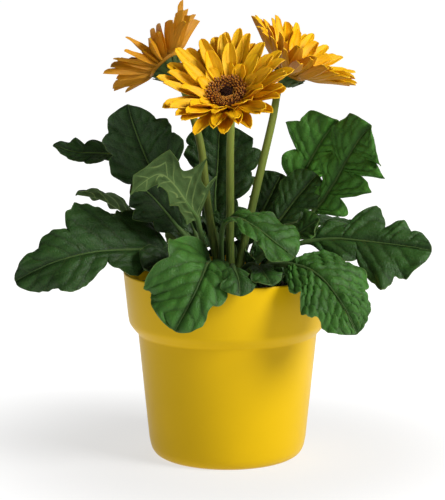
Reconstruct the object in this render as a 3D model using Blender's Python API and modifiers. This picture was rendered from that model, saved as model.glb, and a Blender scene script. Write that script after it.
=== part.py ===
"""A potted gerbera: three yellow blooms over a rosette of lobed leaves, in a yellow pot.

Lengths are metres and +Z is up. The origin is the centre of the pot's base, and the front faces -Y.
The routes of the stems and leaf ribs are short lists of points in millimetres, chosen by hand.
"""

import math
import random
from collections import namedtuple

import bmesh
import bpy
from mathutils import Matrix, Quaternion, Vector

OBJECT_NAME = "potted_gerbera"
MM = 0.001
GAP = 0.0003
MERGE = 0.00001
UP = Vector((0, 0, 1))
# A path's heading is taken between two points this far before and after a place
HEADING_REACH = 0.0015
SHARP_ANGLE = 40

# Pot
POT_HEIGHT = 0.149
RIM_RADIUS = 0.083
BAND_FOOT = Vector((0.0795, 0, 0.113))
SEAM = Vector((0.0715, 0, 0.0985))
BODY_FOOT = Vector((0.0632, 0, 0.014))
BASE_RADIUS = 0.0560
WALL = 0.0026
FLOOR = 0.004
FLOOR_ROUND = 0.006
POT_SIDES = 36
FLOOR_STEPS = 2
RIM_STEPS = 4
# The rounded underside of the rim band, as steps from the seam and from the band's foot
SEAM_TURN = Vector((0.0006, 0, 0.0012))
BAND_TURN = Vector((0.0032, 0, 0.0040))
BAND_FOOT_TURN = Vector((-0.0012, 0, -0.0055))
# The rounded foot, as steps in and down from where the straight wall ends
FOOT_TURNS = (Vector((-0.0016, 0, -0.0075)), Vector((-0.0042, 0, -0.0120)))

# Soil
SOIL_LEVEL = 0.134
SOIL_MOUND = 0.002
SOIL_LUMP = 0.001
SOIL_RINGS = (0.90, 0.70, 0.46, 0.22)
SOIL_SIDES = 21
SOIL_EDGE = 0.95
SOIL_SEED = 4
ROOT_DEPTH = 0.013
ROOT_STAND = 0.0042
HOLE_SIDES = 8

# Stems
STEM_FOOT_RADIUS = 0.0036
STEM_NECK_RADIUS = 0.0029
STEM_STATION = 0.017
STEM_END = -0.010
NECK_LENGTH = 0.006

# Blooms, measured along and out from the axis of the flower head, whose zero is where the rays spread
BLOOM_RADIUS = 0.057
RAY_ROOT = 0.0120
RAY_HALF_WIDTH = 0.0058
RAY_THICKNESS = 0.0009
RAY_DISH = 0.0006
RAY_STEEPEST = 45
RAY_STATIONS = ((0.0, 0.28), (0.26, 0.60), (0.68, 1.00), (0.93, 0.72))
RECEPTACLE_RADIUS = 0.0142
RECEPTACLE_TOP = 0.0014
RECEPTACLE_FOOT = -0.0020
RECEPTACLE_SIDES = 24
DISC_FOOT = 0.0115
DISC_RADIUS = 0.0148
DISC_TOP = 0.0068
DISC_SEGMENTS = 24
DISC_RINGS = 9
FLORET_RELIEF = 0.0009
EYE_RADIUS = 0.0056
EYE_HEIGHT = 0.0024
EYE_SEAT = 0.0046
EYE_RIM = 0.0008
CUP_PROFILE = ((0.0031, -0.0150), (0.0062, -0.0128), (0.0096, -0.0092), (0.0119, -0.0052),
               (0.0128, -0.0023))
CUP_SIDES = 13
BRACTS = 13
BRACT_HALF_WIDTH = 0.0021
BRACT_THICKNESS = 0.0012
BRACT_LINE = (Vector((0.0092, 0, -0.0098)), Vector((0.0124, 0, -0.0056)), Vector((0.0146, 0, -0.0022)))
BRACT_WIDTHS = (0.7, 1.0)
BRACT_OUT = Vector((0.75, 0, -0.66))
# Rings of the disc from its middle outwards and down: radius, height, and how much of the relief it takes
DISC_FLOOR = RECEPTACLE_TOP + GAP
DISC_SHAPE = ((0, EYE_SEAT - GAP, 0), (EYE_RADIUS + EYE_RIM, EYE_SEAT - GAP, 0), (0.0078, DISC_TOP, 0.6),
              (0.0104, DISC_TOP + 0.0006, 1), (0.0130, DISC_TOP - 0.0004, 1),
              (DISC_RADIUS, DISC_TOP - 0.0026, 1),
              (0.0138, 0.0034, 0.4), (DISC_FOOT, DISC_FLOOR, 0), (DISC_FOOT / 2, DISC_FLOOR, 0),
              (0, DISC_FLOOR, 0))

# Leaves
LEAF_THICKNESS = 0.0013
RIB_THICKNESS = 0.0023
PETIOLE_RADIUS = 0.0023
PETIOLE_STATION = 0.014
LEAF_STATION = 0.0080
LEAF_SWEEP = 0.30
# Where along the blade the stalk starts and ends its flattening, the lobes lose their forward sweep, and the
# rib thins
FLATTENS = (-0.06, 0.10)
SWEEP_FADES = (0.45, 0.98)
RIB_THINS = (0.2, 1.0)
RIB_THINNING = 0.5
TIP_FROM = 0.84
TIP_STATIONS = (0.93, 0.98)
WAVES_ALONG = 3.2
MID_COLUMN = 0.66
RIPPLE_PHASES = (0.0, 1.9)
MID_RIPPLE = 0.3
FULL_RIPPLE_WIDTH = 0.020
STALK_TAPER = 0.15
STALK_SQUASH = 0.3
SHARP_POWER = 1.3

# A whorl is a number of rays, their rise in degrees, their reach, and the height they root at.
WHORLS = ((15, 20, 1.00, -0.0008), (15, 28, 0.97, 0.0000), (10, 38, 0.78, 0.0004))
# How far the rays differ at random
TURN_JITTER = 0.14
RISE_JITTER = 2.5
REACH_RANGE = (0.94, 1.04)
BEND_RANGE = (-8, 6)
SIDE_LEAN = 0.06
# How much of a raised side goes into the rise at the root and into the bend along the ray
RAISED_RISE = 0.4
RAISED_BEND = 0.6

Bloom = namedtuple("Bloom", "name foot route head axis spin cup lean raised seed")
Leaf = namedtuple("Leaf", "name foot route blade face twist fold curl wave sharp left right")

# A foot is where a stem or stalk stands in the soil: its direction in degrees, and its distance from the
# middle in mm. Its route then runs through points in mm.
BLOOMS = (
    Bloom("front", (306, 5.5), ((2, -4, 165), (2, -7, 205), (2, -12, 246)),
          head=(0, -30, 290), axis=(-0.13, -0.65, 0.75), spin=4, cup=5, lean=(0, 0, -1), raised=-2, seed=11),
    Bloom("left", (146, 7.2), ((-9, 4, 160), (-16, 7, 200), (-21, 13, 245), (-30, 18, 278)),
          head=(-51, 25, 311), axis=(-0.66, 0.26, 0.72), spin=9, cup=9, lean=(0, 0, -1), raised=0, seed=12),
    Bloom("right", (30, 8.0), ((11, 5, 160), (20, 9, 200), (29, 13, 238), (36, 17, 268)),
          head=(51, 23, 307), axis=(0.50, -0.30, 0.82), spin=2, cup=5, lean=(0, -1, 0), raised=26, seed=13),
)

# left and right are the lobes beside the rib: how far along the blade each stands, its reach in mm, and the
# reach in the notch that follows it. blade is the point of the route where the blade starts, and face is
# where its upper side looks there.
LEAVES = (
    Leaf("far_left", (188, 25), ((-42, -16, 162), (-61, -22, 169), (-78, -33, 171), (-103, -44, 171),
                                 (-128, -50, 166), (-147, -48, 158), (-165, -44, 148)),
         blade=0, face=(-0.1, -0.74, 0.68), twist=-4, fold=4, curl=6, wave=2.5, sharp=0.25,
         left=((0.22, 22, 8), (0.62, 28, 23), (0.84, 19, 0)),
         right=((0.15, 34, 26), (0.46, 42, 22), (0.70, 24, 16), (0.88, 14, 0))),
    Leaf("left_mid", (163, 25), ((-46, 6, 160), (-65, 8, 178), (-84, 12, 195), (-102, 14, 205),
                                 (-121, 14, 209)),
         blade=1, face=(0.35, 0.35, 0.87), twist=0, fold=10, curl=6, wave=2.0, sharp=0.5,
         left=((0.16, 22, 15), (0.46, 24, 13), (0.78, 14, 0)),
         right=((0.16, 20, 14), (0.46, 20, 12), (0.78, 12, 0))),
    Leaf("left_tip", (135, 16.5), ((-24, 18, 171), (-60, 33, 211), (-83, 40, 234), (-103, 42, 238),
                                   (-124, 42, 239), (-141, 40, 245)),
         blade=2, face=(-0.1, -0.5, 0.85), twist=0, fold=8, curl=4, wave=1.5, sharp=0.4,
         left=((0.12, 9, 7), (0.36, 17, 10), (0.66, 13, 8), (0.88, 8, 0)),
         right=((0.12, 12, 9), (0.40, 13, 8), (0.66, 15, 9), (0.88, 8, 0))),
    Leaf("upper_left", (175, 16.5), ((-27, 4, 168), (-46, 6, 198), (-58, 6, 223), (-68, 3, 247),
                                     (-75, -3, 268), (-78, -9, 281)),
         blade=1, face=(-0.3, -0.92, 0.2), twist=0, fold=6, curl=8, wave=2.0, sharp=0.1,
         left=((0.12, 24, 20), (0.38, 31, 25), (0.66, 28, 22), (0.88, 20, 0)),
         right=((0.12, 22, 18), (0.40, 33, 26), (0.68, 29, 21), (0.88, 18, 0))),
    Leaf("back_centre", (95, 16.5), ((-8, 22, 171), (-10, 28, 202), (-8, 33, 230), (-7, 34, 250),
                                     (-6, 32, 263)),
         blade=0, face=(0.0, -0.95, 0.3), twist=0, fold=10, curl=6, wave=2.0, sharp=0.1,
         left=((0.16, 11, 9), (0.40, 20, 17), (0.66, 28, 24), (0.88, 26, 0)),
         right=((0.16, 20, 17), (0.40, 30, 25), (0.66, 35, 27), (0.88, 29, 0))),
    Leaf("star", (231, 25), ((-22, -30, 188), (-31, -42, 207), (-43, -53, 226), (-53, -58, 233),
                             (-66, -62, 226), (-74, -62, 218)),
         blade=0, face=(0.15, -0.65, 0.74), twist=0, fold=12, curl=-6, wave=2.5, sharp=0.95,
         left=((0.14, 13, 8), (0.40, 17, 9), (0.66, 12, 7), (0.88, 7, 0)),
         right=((0.16, 34, 18), (0.40, 35, 13), (0.66, 25, 10), (0.88, 10, 0))),
    Leaf("dark_left", (215, 16.5), ((-22, -12, 165), (-36, -16, 182), (-48, -19, 198), (-60, -20, 212),
                                    (-72, -20, 222)),
         blade=1, face=(-0.1, -0.85, 0.5), twist=0, fold=6, curl=6, wave=2.0, sharp=0.3,
         left=((0.18, 16, 12), (0.50, 24, 17), (0.82, 18, 0)),
         right=((0.18, 16, 12), (0.50, 22, 16), (0.82, 17, 0))),
    Leaf("young_left", (203, 9.5), ((-17, -7, 160), (-25, -7, 178), (-32, -6, 196), (-38, -6, 208)),
         blade=1, face=(-0.2, -0.9, 0.3), twist=0, fold=10, curl=4, wave=1.0, sharp=0.4,
         left=((0.25, 9, 7), (0.62, 12, 0)),
         right=((0.25, 9, 7), (0.62, 12, 0))),
    Leaf("low_left", (208, 25), ((-30, -20, 156), (-40, -30, 161), (-51, -41, 162), (-64, -51, 159)),
         blade=0, face=(-0.2, -0.60, 0.77), twist=0, fold=6, curl=6, wave=1.5, sharp=0.3,
         left=((0.22, 12, 9), (0.62, 17, 0)),
         right=((0.22, 15, 11), (0.62, 19, 0))),
    Leaf("front_left", (252, 25), ((-13, -42, 160), (-15, -60, 166), (-19, -81, 160), (-24, -93, 150),
                                   (-31, -100, 137), (-40, -103, 121)),
         blade=0, face=(0.05, 0.2, 0.95), twist=0, fold=-4, curl=9, wave=2.0, sharp=0.1,
         left=((0.22, 18, 14), (0.52, 24, 18), (0.80, 17, 0)),
         right=((0.20, 30, 26), (0.50, 43, 37), (0.78, 34, 0))),
    Leaf("front_centre", (277, 25), ((4, -42, 157), (4, -70, 164), (8, -91, 158), (9, -99, 147)),
         blade=1, face=(0.05, -0.35, 0.93), twist=0, fold=-4, curl=8, wave=1.0, sharp=0.4,
         left=((0.25, 11, 7), (0.68, 13, 0)),
         right=((0.25, 12, 8), (0.68, 15, 0))),
    Leaf("low_front", (295, 16.5), ((14, -32, 157), (21, -52, 162), (27, -70, 160), (33, -82, 152)),
         blade=1, face=(0.1, -0.4, 0.9), twist=0, fold=4, curl=6, wave=1.0, sharp=0.4,
         left=((0.25, 11, 8), (0.65, 13, 0)),
         right=((0.25, 11, 8), (0.65, 13, 0))),
    Leaf("inner_right", (255, 16.5), ((-5, -26, 176), (-2, -39, 194), (8, -53, 199), (22, -63, 193),
                                      (36, -70, 183), (51, -73, 172)),
         blade=1, face=(0.2, -0.60, 0.77), twist=4, fold=4, curl=6, wave=1.5, sharp=0.1,
         left=((0.14, 13, 10), (0.44, 22, 18), (0.76, 25, 0)),
         right=((0.14, 10, 8), (0.46, 15, 12), (0.76, 18, 0))),
    Leaf("lower_right", (305, 25), ((26, -38, 157), (45, -55, 163), (59, -67, 163), (72, -77, 156),
                                    (84, -86, 142), (93, -91, 127), (98, -92, 116)),
         blade=1, face=(0.25, -0.60, 0.76), twist=0, fold=-6, curl=9, wave=2.0, sharp=0.1,
         left=((0.14, 34, 31), (0.42, 38, 31), (0.72, 26, 0)),
         right=((0.16, 27, 23), (0.46, 32, 26), (0.76, 23, 0))),
    Leaf("right", (332, 25), ((40, -14, 165), (60, -17, 174), (83, -22, 178), (107, -28, 177),
                              (131, -34, 175), (158, -40, 172)),
         blade=1, face=(0.0, -0.70, 0.71), twist=4, fold=4, curl=6, wave=2.5, sharp=0.4,
         left=((0.16, 18, 12), (0.42, 33, 14), (0.72, 21, 13), (0.90, 15, 0)),
         right=((0.22, 24, 17), (0.58, 44, 30), (0.84, 28, 0))),
    Leaf("small_right", (335, 16.5), ((26, -11, 160), (46, -18, 173), (58, -23, 184), (71, -28, 194)),
         blade=1, face=(-0.1, -0.6, 0.8), twist=0, fold=10, curl=4, wave=1.5, sharp=0.6,
         left=((0.22, 13, 8), (0.60, 16, 0)),
         right=((0.22, 13, 8), (0.60, 17, 0))),
    Leaf("upper_right_a", (15, 16.5), ((26, 10, 168), (53, 22, 196), (62, 25, 224), (72, 24, 244),
                                       (80, 20, 257), (87, 14, 267)),
         blade=1, face=(-0.2, -0.90, 0.3), twist=0, fold=8, curl=6, wave=2.5, sharp=0.75,
         left=((0.14, 16, 13), (0.36, 22, 12), (0.60, 37, 17), (0.86, 22, 0)),
         right=((0.16, 10, 8), (0.42, 20, 15), (0.70, 24, 16), (0.90, 16, 0))),
    Leaf("upper_right_b", (0, 25), ((40, 2, 168), (66, 2, 193), (82, 1, 215), (93, -3, 236), (102, -9, 253),
                                    (111, -17, 266)),
         blade=1, face=(-0.4, -0.75, 0.5), twist=-5, fold=6, curl=8, wave=2.5, sharp=0.7,
         left=((0.16, 12, 9), (0.40, 19, 13), (0.64, 26, 17), (0.86, 20, 0)),
         right=((0.10, 29, 13), (0.38, 36, 18), (0.62, 45, 24), (0.84, 33, 0))),
    Leaf("back_right", (55, 16.5), ((16, 24, 167), (27, 37, 188), (36, 45, 205), (44, 49, 220)),
         blade=1, face=(0.0, -0.80, 0.6), twist=0, fold=8, curl=6, wave=2.0, sharp=0.4,
         left=((0.16, 15, 10), (0.50, 22, 14), (0.82, 16, 0)),
         right=((0.16, 15, 10), (0.50, 22, 14), (0.82, 16, 0))),
    Leaf("side_right", (28, 25), ((40, 22, 163), (62, 38, 178), (84, 54, 182), (106, 66, 172),
                                  (122, 74, 154)),
         blade=0, face=(0.1, 0.0, 0.99), twist=0, fold=3, curl=8, wave=2.5, sharp=0.3,
         left=((0.16, 19, 14), (0.42, 24, 17), (0.68, 27, 19), (0.88, 20, 0)),
         right=((0.16, 20, 14), (0.42, 30, 20), (0.68, 30, 20), (0.88, 20, 0))),
    Leaf("rear_right", (55, 25), ((22, 38, 162), (34, 62, 180), (46, 86, 184), (58, 106, 174),
                                  (68, 122, 156)),
         blade=0, face=(0.0, 0.0, 1), twist=0, fold=3, curl=8, wave=2.5, sharp=0.3,
         left=((0.14, 18, 13), (0.40, 27, 19), (0.66, 30, 20), (0.86, 22, 0)),
         right=((0.14, 18, 13), (0.40, 27, 18), (0.66, 26, 18), (0.86, 20, 0))),
    Leaf("rear", (105, 25), ((-9, 42, 162), (-14, 66, 177), (-19, 90, 177), (-23, 110, 163), (-25, 123, 145)),
         blade=0, face=(0.0, 0.0, 1), twist=0, fold=2, curl=9, wave=2.0, sharp=0.2,
         left=((0.16, 19, 15), (0.44, 30, 24), (0.74, 31, 0)),
         right=((0.16, 19, 15), (0.44, 29, 24), (0.74, 30, 0))),
    Leaf("rear_left", (138, 25), ((-32, 32, 163), (-50, 50, 180), (-70, 68, 186), (-90, 86, 178),
                                  (-106, 99, 162)),
         blade=0, face=(0.0, 0.0, 1), twist=0, fold=4, curl=8, wave=2.5, sharp=0.3,
         left=((0.16, 19, 13), (0.42, 29, 19), (0.68, 31, 21), (0.88, 20, 0)),
         right=((0.16, 19, 13), (0.42, 30, 19), (0.68, 32, 21), (0.88, 20, 0))),
)


def mm(point):
    """A point written in millimetres, as a vector in metres."""
    return Vector(point) * MM


def clear_scene():
    for obj in list(bpy.data.objects):
        bpy.data.objects.remove(obj)


def collection(name):
    made = bpy.data.collections.new(name)
    bpy.context.scene.collection.children.link(made)
    return made


def material(name, colour, roughness):
    made = bpy.data.materials.new(name)
    made.use_nodes = True
    shader = made.node_tree.nodes["Principled BSDF"]
    shader.inputs["Base Color"].default_value = (*colour, 1)
    shader.inputs["Roughness"].default_value = roughness
    shader.inputs["Metallic"].default_value = 0
    return made


class SmoothPath:
    """A smooth curve through points, read by the distance along it."""

    STEPS = 12

    def __init__(self, points):
        ends = [2 * points[0] - points[1], *points, 2 * points[-1] - points[-2]]
        self.places = [points[0].copy()]
        self.marks = [0.0]
        self.knots = [0.0]
        for before, start, end, after in zip(ends, ends[1:], ends[2:], ends[3:]):
            for step in range(1, self.STEPS + 1):
                t = step / self.STEPS
                place = 0.5 * (2 * start + (end - before) * t
                               + (2 * before - 5 * start + 4 * end - after) * t ** 2
                               + (3 * start - before - 3 * end + after) * t ** 3)
                self.marks.append(self.marks[-1] + (place - self.places[-1]).length)
                self.places.append(place)
            self.knots.append(self.marks[-1])
        self.length = self.marks[-1]

    def place(self, distance):
        for low, high, start, end in zip(self.marks, self.marks[1:], self.places, self.places[1:]):
            if distance <= high:
                return start.lerp(end, (distance - low) / (high - low))
        return self.places[-1].copy()

    def heading(self, distance):
        low = max(distance - HEADING_REACH, 0)
        high = min(distance + HEADING_REACH, self.length)
        return (self.place(high) - self.place(low)).normalized()


def spread(start, end, spacing):
    """Distances from start up to, not with, end, about one spacing apart."""
    count = max(1, round((end - start) / spacing))
    return [start + (end - start) * step / count for step in range(count)]


def smooth(value, low, high):
    """A soft step from 0 at low to 1 at high."""
    t = min(max((value - low) / (high - low), 0), 1)
    return t * t * (3 - 2 * t)


def tube_axes(axis, spin=0):
    """A turn that takes +Z to the axis."""
    return UP.rotation_difference(axis) @ Quaternion(UP, math.radians(spin))


def new_object(name, mesh, parts, finish=None):
    obj = bpy.data.objects.new(name, mesh)
    parts.objects.link(obj)
    if finish:
        mesh.materials.clear()
        mesh.materials.append(finish)
    return obj


def mesh_from(name, maker, **options):
    """A mesh that one bmesh operator makes."""
    mesh = bpy.data.meshes.new(name)
    bm = bmesh.new()
    maker(bm, **options)
    bm.to_mesh(mesh)
    bm.free()
    return mesh


def loft(name, rings, tip, split=False):
    """A closed mesh through rings of points, from a capped first ring to one tip point.

    With split, each face is cut into triangles so that the halves of a ring, which face each other across the
    thin blade, are cut alike.
    """
    mesh = bpy.data.meshes.new(name)
    bm = bmesh.new()
    rows = [[bm.verts.new(point) for point in ring] for ring in rings]
    last = bm.verts.new(tip)
    count = len(rings[0])
    half = count // 2
    bm.faces.new(rows[0][::-1])
    for low, high in zip(rows, rows[1:]):
        for i in range(count):
            j = (i + 1) % count
            outward = (i < half // 2) or (half <= i < half + half // 2)
            if not split:
                bm.faces.new((low[i], low[j], high[j], high[i]))
            elif outward == (i < half):
                bm.faces.new((low[i], low[j], high[i]))
                bm.faces.new((low[j], high[j], high[i]))
            else:
                bm.faces.new((low[i], low[j], high[j]))
                bm.faces.new((low[i], high[j], high[i]))
    for i in range(count):
        bm.faces.new((rows[-1][i], rows[-1][(i + 1) % count], last))
    if bm.calc_volume(signed=True) < 0:
        bmesh.ops.reverse_faces(bm, faces=bm.faces)
    bm.to_mesh(mesh)
    bm.free()
    return mesh


def evaluated_mesh(obj, name):
    """The mesh of an object with its modifiers, welded, in world space."""
    graph = bpy.context.evaluated_depsgraph_get()
    mesh = bpy.data.meshes.new_from_object(obj.evaluated_get(graph))
    mesh.name = name
    bm = bmesh.new()
    bm.from_mesh(mesh)
    bmesh.ops.remove_doubles(bm, verts=bm.verts, dist=MERGE)
    bm.to_mesh(mesh)
    bm.free()
    mesh.transform(obj.matrix_world)
    return mesh


def turned(name, profile, sides, parts, finish):
    """A solid turned about Z from a profile that runs down its outer side."""
    mesh = bpy.data.meshes.new(name)
    edges = [(i, i + 1) for i in range(len(profile) - 1)]
    mesh.from_pydata(profile, edges, [])
    obj = new_object(name, mesh, parts, finish)
    screw = obj.modifiers.new("Turn", "SCREW")
    screw.steps = sides
    screw.render_steps = sides
    screw.use_merge_vertices = True
    screw.merge_threshold = MERGE
    screw.use_smooth_shade = True
    return obj


def joined(obj, pieces):
    """Unites an object with loose meshes, and leaves one plain mesh."""
    joins = collection(obj.name + "_pieces")
    for piece in pieces:
        new_object(piece.name, piece, joins)
    union = obj.modifiers.new("Join", "BOOLEAN")
    union.operation = "UNION"
    union.solver = "MANIFOLD"
    union.operand_type = "COLLECTION"
    union.collection = joins
    finish = obj.data.materials[0]
    mesh = evaluated_mesh(obj, obj.name)
    obj.modifiers.clear()
    obj.data = mesh
    mesh.materials.clear()
    mesh.materials.append(finish)
    for piece in list(joins.objects):
        bpy.data.objects.remove(piece)
    bpy.data.collections.remove(joins)
    obj.matrix_world = Matrix()
    return obj


def arc(centre, radius, start, end, steps):
    """Points on an arc in the XZ plane, from one angle to another in degrees."""
    turns = [math.radians(start + (end - start) * step / steps) for step in range(steps + 1)]
    return [centre + radius * Vector((math.cos(turn), 0, math.sin(turn))) for turn in turns]


def inner_wall(inset):
    """The pot's inner outline from its floor up to under the rim, moved in by an inset."""
    wall = Vector((WALL + inset, 0, 0))
    floor = FLOOR + inset
    slope = (SEAM.x - BODY_FOOT.x) / (SEAM.z - BODY_FOOT.z)
    foot = BODY_FOOT - wall
    corner = Vector((foot.x - slope * (foot.z - floor) - FLOOR_ROUND, 0, floor + FLOOR_ROUND))
    turned_corner = arc(corner, FLOOR_ROUND, -90, 0, FLOOR_STEPS)
    return [Vector((0, 0, floor)), *turned_corner, SEAM - wall, BAND_FOOT - wall]


def make_pot(parts, finish):
    lip = WALL / 2
    rim = Vector((RIM_RADIUS - lip, 0, POT_HEIGHT - lip))
    band = [BAND_FOOT, BAND_FOOT + BAND_FOOT_TURN, SEAM + BAND_TURN, SEAM + SEAM_TURN, SEAM]
    foot = [BODY_FOOT, *(BODY_FOOT + turn for turn in FOOT_TURNS), Vector((BASE_RADIUS, 0, 0))]
    profile = [*inner_wall(0), *arc(rim, lip, 180, 0, RIM_STEPS), *band, *foot, Vector((0, 0, 0))]
    return turned("pot", profile, POT_SIDES, parts, finish)


def foot_radius(item):
    return STEM_FOOT_RADIUS if isinstance(item, Bloom) else PETIOLE_RADIUS


def make_soil(parts, finish, cutters):
    draw = random.Random(SOIL_SEED)
    wall = inner_wall(GAP)
    run = (SOIL_LEVEL - wall[-1].z) / (POT_HEIGHT - wall[-1].z)
    edge_radius = wall[-1].x + run * (RIM_RADIUS - WALL - GAP - wall[-1].x)
    edge = Vector((edge_radius, 0, SOIL_LEVEL))
    top = []
    for share in SOIL_RINGS:
        top.append(Vector((edge_radius * share, 0, SOIL_LEVEL + SOIL_MOUND * (1 - share ** 2))))
    crown = Vector((0, 0, SOIL_LEVEL + SOIL_MOUND))
    profile = [crown, *reversed(top), edge, *reversed(wall)]
    soil = turned("soil", profile, SOIL_SIDES, parts, finish)
    soil.data = evaluated_mesh(soil, "soil")
    soil.modifiers.clear()
    for vert in soil.data.vertices:
        reach = vert.co.xy.length / edge_radius
        if vert.co.z > SOIL_LEVEL - MM and reach < SOIL_EDGE:
            vert.co.z += draw.uniform(-SOIL_LUMP, SOIL_LUMP)
    for item in (*BLOOMS, *LEAVES):
        radius = (foot_radius(item) + GAP) / math.cos(math.pi / HOLE_SIDES)
        mesh = mesh_from("hole", bmesh.ops.create_cone, cap_ends=True, segments=HOLE_SIDES, radius1=radius,
                         radius2=radius, depth=2 * (ROOT_DEPTH + GAP))
        hole = new_object("hole_" + item.name, mesh, cutters)
        hole.location = foot_place(item.foot) + UP * (SOIL_LEVEL + GAP)
        hole.hide_render = True
        hole.display_type = "WIRE"
    cut = soil.modifiers.new("Holes", "BOOLEAN")
    cut.operation = "DIFFERENCE"
    cut.operand_type = "COLLECTION"
    cut.collection = cutters
    return soil


def foot_place(foot):
    direction, distance = foot
    turn = math.radians(direction)
    return Vector((math.cos(turn), math.sin(turn), 0)) * distance * MM


def rooted_path(foot, points):
    """A path that starts straight up out of a hole in the soil."""
    base = foot_place(foot)
    start = [base + UP * (SOIL_LEVEL + rise) for rise in (-ROOT_DEPTH, ROOT_STAND, 2 * ROOT_STAND)]
    return SmoothPath([*start, *points])


def make_stem(bloom, parts, finish):
    """The stalk with the green cup of bracts under the head, as one piece."""
    name = "stem_" + bloom.name
    axis = Vector(bloom.axis).normalized()
    head = mm(bloom.head)
    turn = tube_axes(axis)
    end = head + axis * STEM_END
    neck = head + axis * (CUP_PROFILE[0][1] - NECK_LENGTH)
    path = rooted_path(bloom.foot, [*(mm(point) for point in bloom.route), neck, end])
    distances = [0, *spread(ROOT_DEPTH + ROOT_STAND, path.length, STEM_STATION), path.length]
    curve = bpy.data.curves.new(name, "CURVE")
    curve.dimensions = "3D"
    curve.bevel_depth = STEM_FOOT_RADIUS
    curve.bevel_resolution = 2
    curve.use_fill_caps = True
    spline = curve.splines.new("POLY")
    spline.points.add(len(distances) - 1)
    for point, distance in zip(spline.points, distances):
        point.co = (*path.place(distance), 1)
        taper = distance / path.length
        point.radius = 1 + (STEM_NECK_RADIUS / STEM_FOOT_RADIUS - 1) * taper
    tube = new_object(name + "_curve", curve, parts)
    stem = new_object(name, evaluated_mesh(tube, name), parts, finish)
    bpy.data.objects.remove(tube)
    pieces = [cup_mesh(turn, head, parts), *(bract_mesh(turn, head, i) for i in range(BRACTS))]
    return joined(stem, pieces)


def cup_mesh(turn, head, parts):
    outer = [Vector((radius, 0, height)) for radius, height in reversed(CUP_PROFILE)]
    profile = [Vector((0, 0, outer[0].z)), *outer, Vector((0, 0, outer[-1].z))]
    obj = turned("cup", profile, CUP_SIDES, parts, None)
    obj.matrix_world = Matrix.Translation(head) @ turn.to_matrix().to_4x4()
    mesh = evaluated_mesh(obj, "cup")
    bpy.data.objects.remove(obj)
    return mesh


def bract_mesh(turn, head, index):
    """One pointed bract that lies on the cup and stands out a little under the rays."""
    around = Quaternion(UP, 2 * math.pi * index / BRACTS)
    out = BRACT_OUT * BRACT_THICKNESS / 2
    rings = []
    for place, width in zip(BRACT_LINE, BRACT_WIDTHS):
        side = Vector((0, BRACT_HALF_WIDTH * width, 0))
        ring = (place - side, place + out, place + side, place - out)
        rings.append([head + turn @ (around @ point) for point in ring])
    return loft("bract", rings, head + turn @ (around @ BRACT_LINE[-1]))


def ray_mesh(turn, head, around, rise, reach, root_height, bend, side_lean):
    """One strap-shaped ray, dished along its middle, from inside the receptacle to a blunt tip."""
    side = around @ Vector((0, 1, 0))
    out = around @ Vector((1, 0, 0))
    rings = []
    length = reach * BLOOM_RADIUS - RAY_ROOT
    place = out * RAY_ROOT + UP * root_height
    last = 0
    for along, width in (*RAY_STATIONS, (1.0, 0)):
        tilt = math.radians(rise + bend * along)
        heading = out * math.cos(tilt) + UP * math.sin(tilt) + side * side_lean * along
        place = place + heading * length * (along - last)
        last = along
        lift = UP * math.cos(tilt) - out * math.sin(tilt)
        half = side * RAY_HALF_WIDTH * width
        dish = lift * RAY_DISH * width
        middle = lift * RAY_THICKNESS / 2
        if width:
            ring = (place - half + dish, place + middle - dish, place + half + dish, place - middle - dish)
            rings.append([head + turn @ point for point in ring])
    return loft("ray", rings, head + turn @ place)


def make_rays(bloom, parts, finish):
    draw = random.Random(bloom.seed)
    axis = Vector(bloom.axis).normalized()
    head = mm(bloom.head)
    turn = tube_axes(axis, bloom.spin)
    leaning = turn.inverted() @ Vector(bloom.lean)
    low_side = Vector((leaning.x, leaning.y, 0)).normalized()
    height = RECEPTACLE_TOP - RECEPTACLE_FOOT
    mesh = mesh_from("receptacle", bmesh.ops.create_cone, cap_ends=True, segments=RECEPTACLE_SIDES,
                     radius1=RECEPTACLE_RADIUS, radius2=RECEPTACLE_RADIUS, depth=height)
    middle = Vector((0, 0, (RECEPTACLE_TOP + RECEPTACLE_FOOT) / 2))
    mesh.transform(Matrix.Translation(head + turn @ middle) @ turn.to_matrix().to_4x4())
    rays = new_object("rays_" + bloom.name, mesh, parts, finish)
    pieces = []
    for row, (count, rise, reach, root_height) in enumerate(WHORLS):
        for i in range(count):
            angle = 2 * math.pi * (i + 0.5 * row + draw.uniform(-TURN_JITTER, TURN_JITTER)) / count
            around = Quaternion(UP, angle)
            raised = bloom.raised * max((around @ Vector((1, 0, 0))).dot(low_side), 0)
            tilt = rise + bloom.cup + raised * RAISED_RISE + draw.uniform(-RISE_JITTER, RISE_JITTER)
            steep = min(tilt, RAY_STEEPEST)
            long = reach * draw.uniform(*REACH_RANGE)
            bend = raised * RAISED_BEND + draw.uniform(*BEND_RANGE)
            side_lean = draw.uniform(-SIDE_LEAN, SIDE_LEAN)
            pieces.append(ray_mesh(turn, head, around, steep, long, root_height, bend, side_lean))
    return joined(rays, pieces)


def make_disc(bloom, parts, finish):
    """The round of small florets: a low ring of bumps, with a dent for the eye."""
    axis = Vector(bloom.axis).normalized()
    turn = tube_axes(axis, bloom.spin)
    mesh = mesh_from("disc_" + bloom.name, bmesh.ops.create_uvsphere, u_segments=DISC_SEGMENTS,
                     v_segments=DISC_RINGS, radius=1)
    for vert in mesh.vertices:
        polar = math.acos(min(max(vert.co.z, -1), 1))
        ring = round(polar / math.pi * DISC_RINGS)
        angle = math.atan2(vert.co.y, vert.co.x)
        step = round(angle / (2 * math.pi) * DISC_SEGMENTS)
        bump = FLORET_RELIEF * (1 if (ring + step) % 2 else -1)
        vert.co = disc_point(ring, angle, bump)
    mesh.transform(Matrix.Translation(mm(bloom.head)) @ turn.to_matrix().to_4x4())
    return new_object("disc_" + bloom.name, mesh, parts, finish)


def disc_point(ring, angle, bump):
    radius, height, share = DISC_SHAPE[ring]
    reach = radius + bump * share / 2
    return Vector((reach * math.cos(angle), reach * math.sin(angle), height + bump * share))


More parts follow.
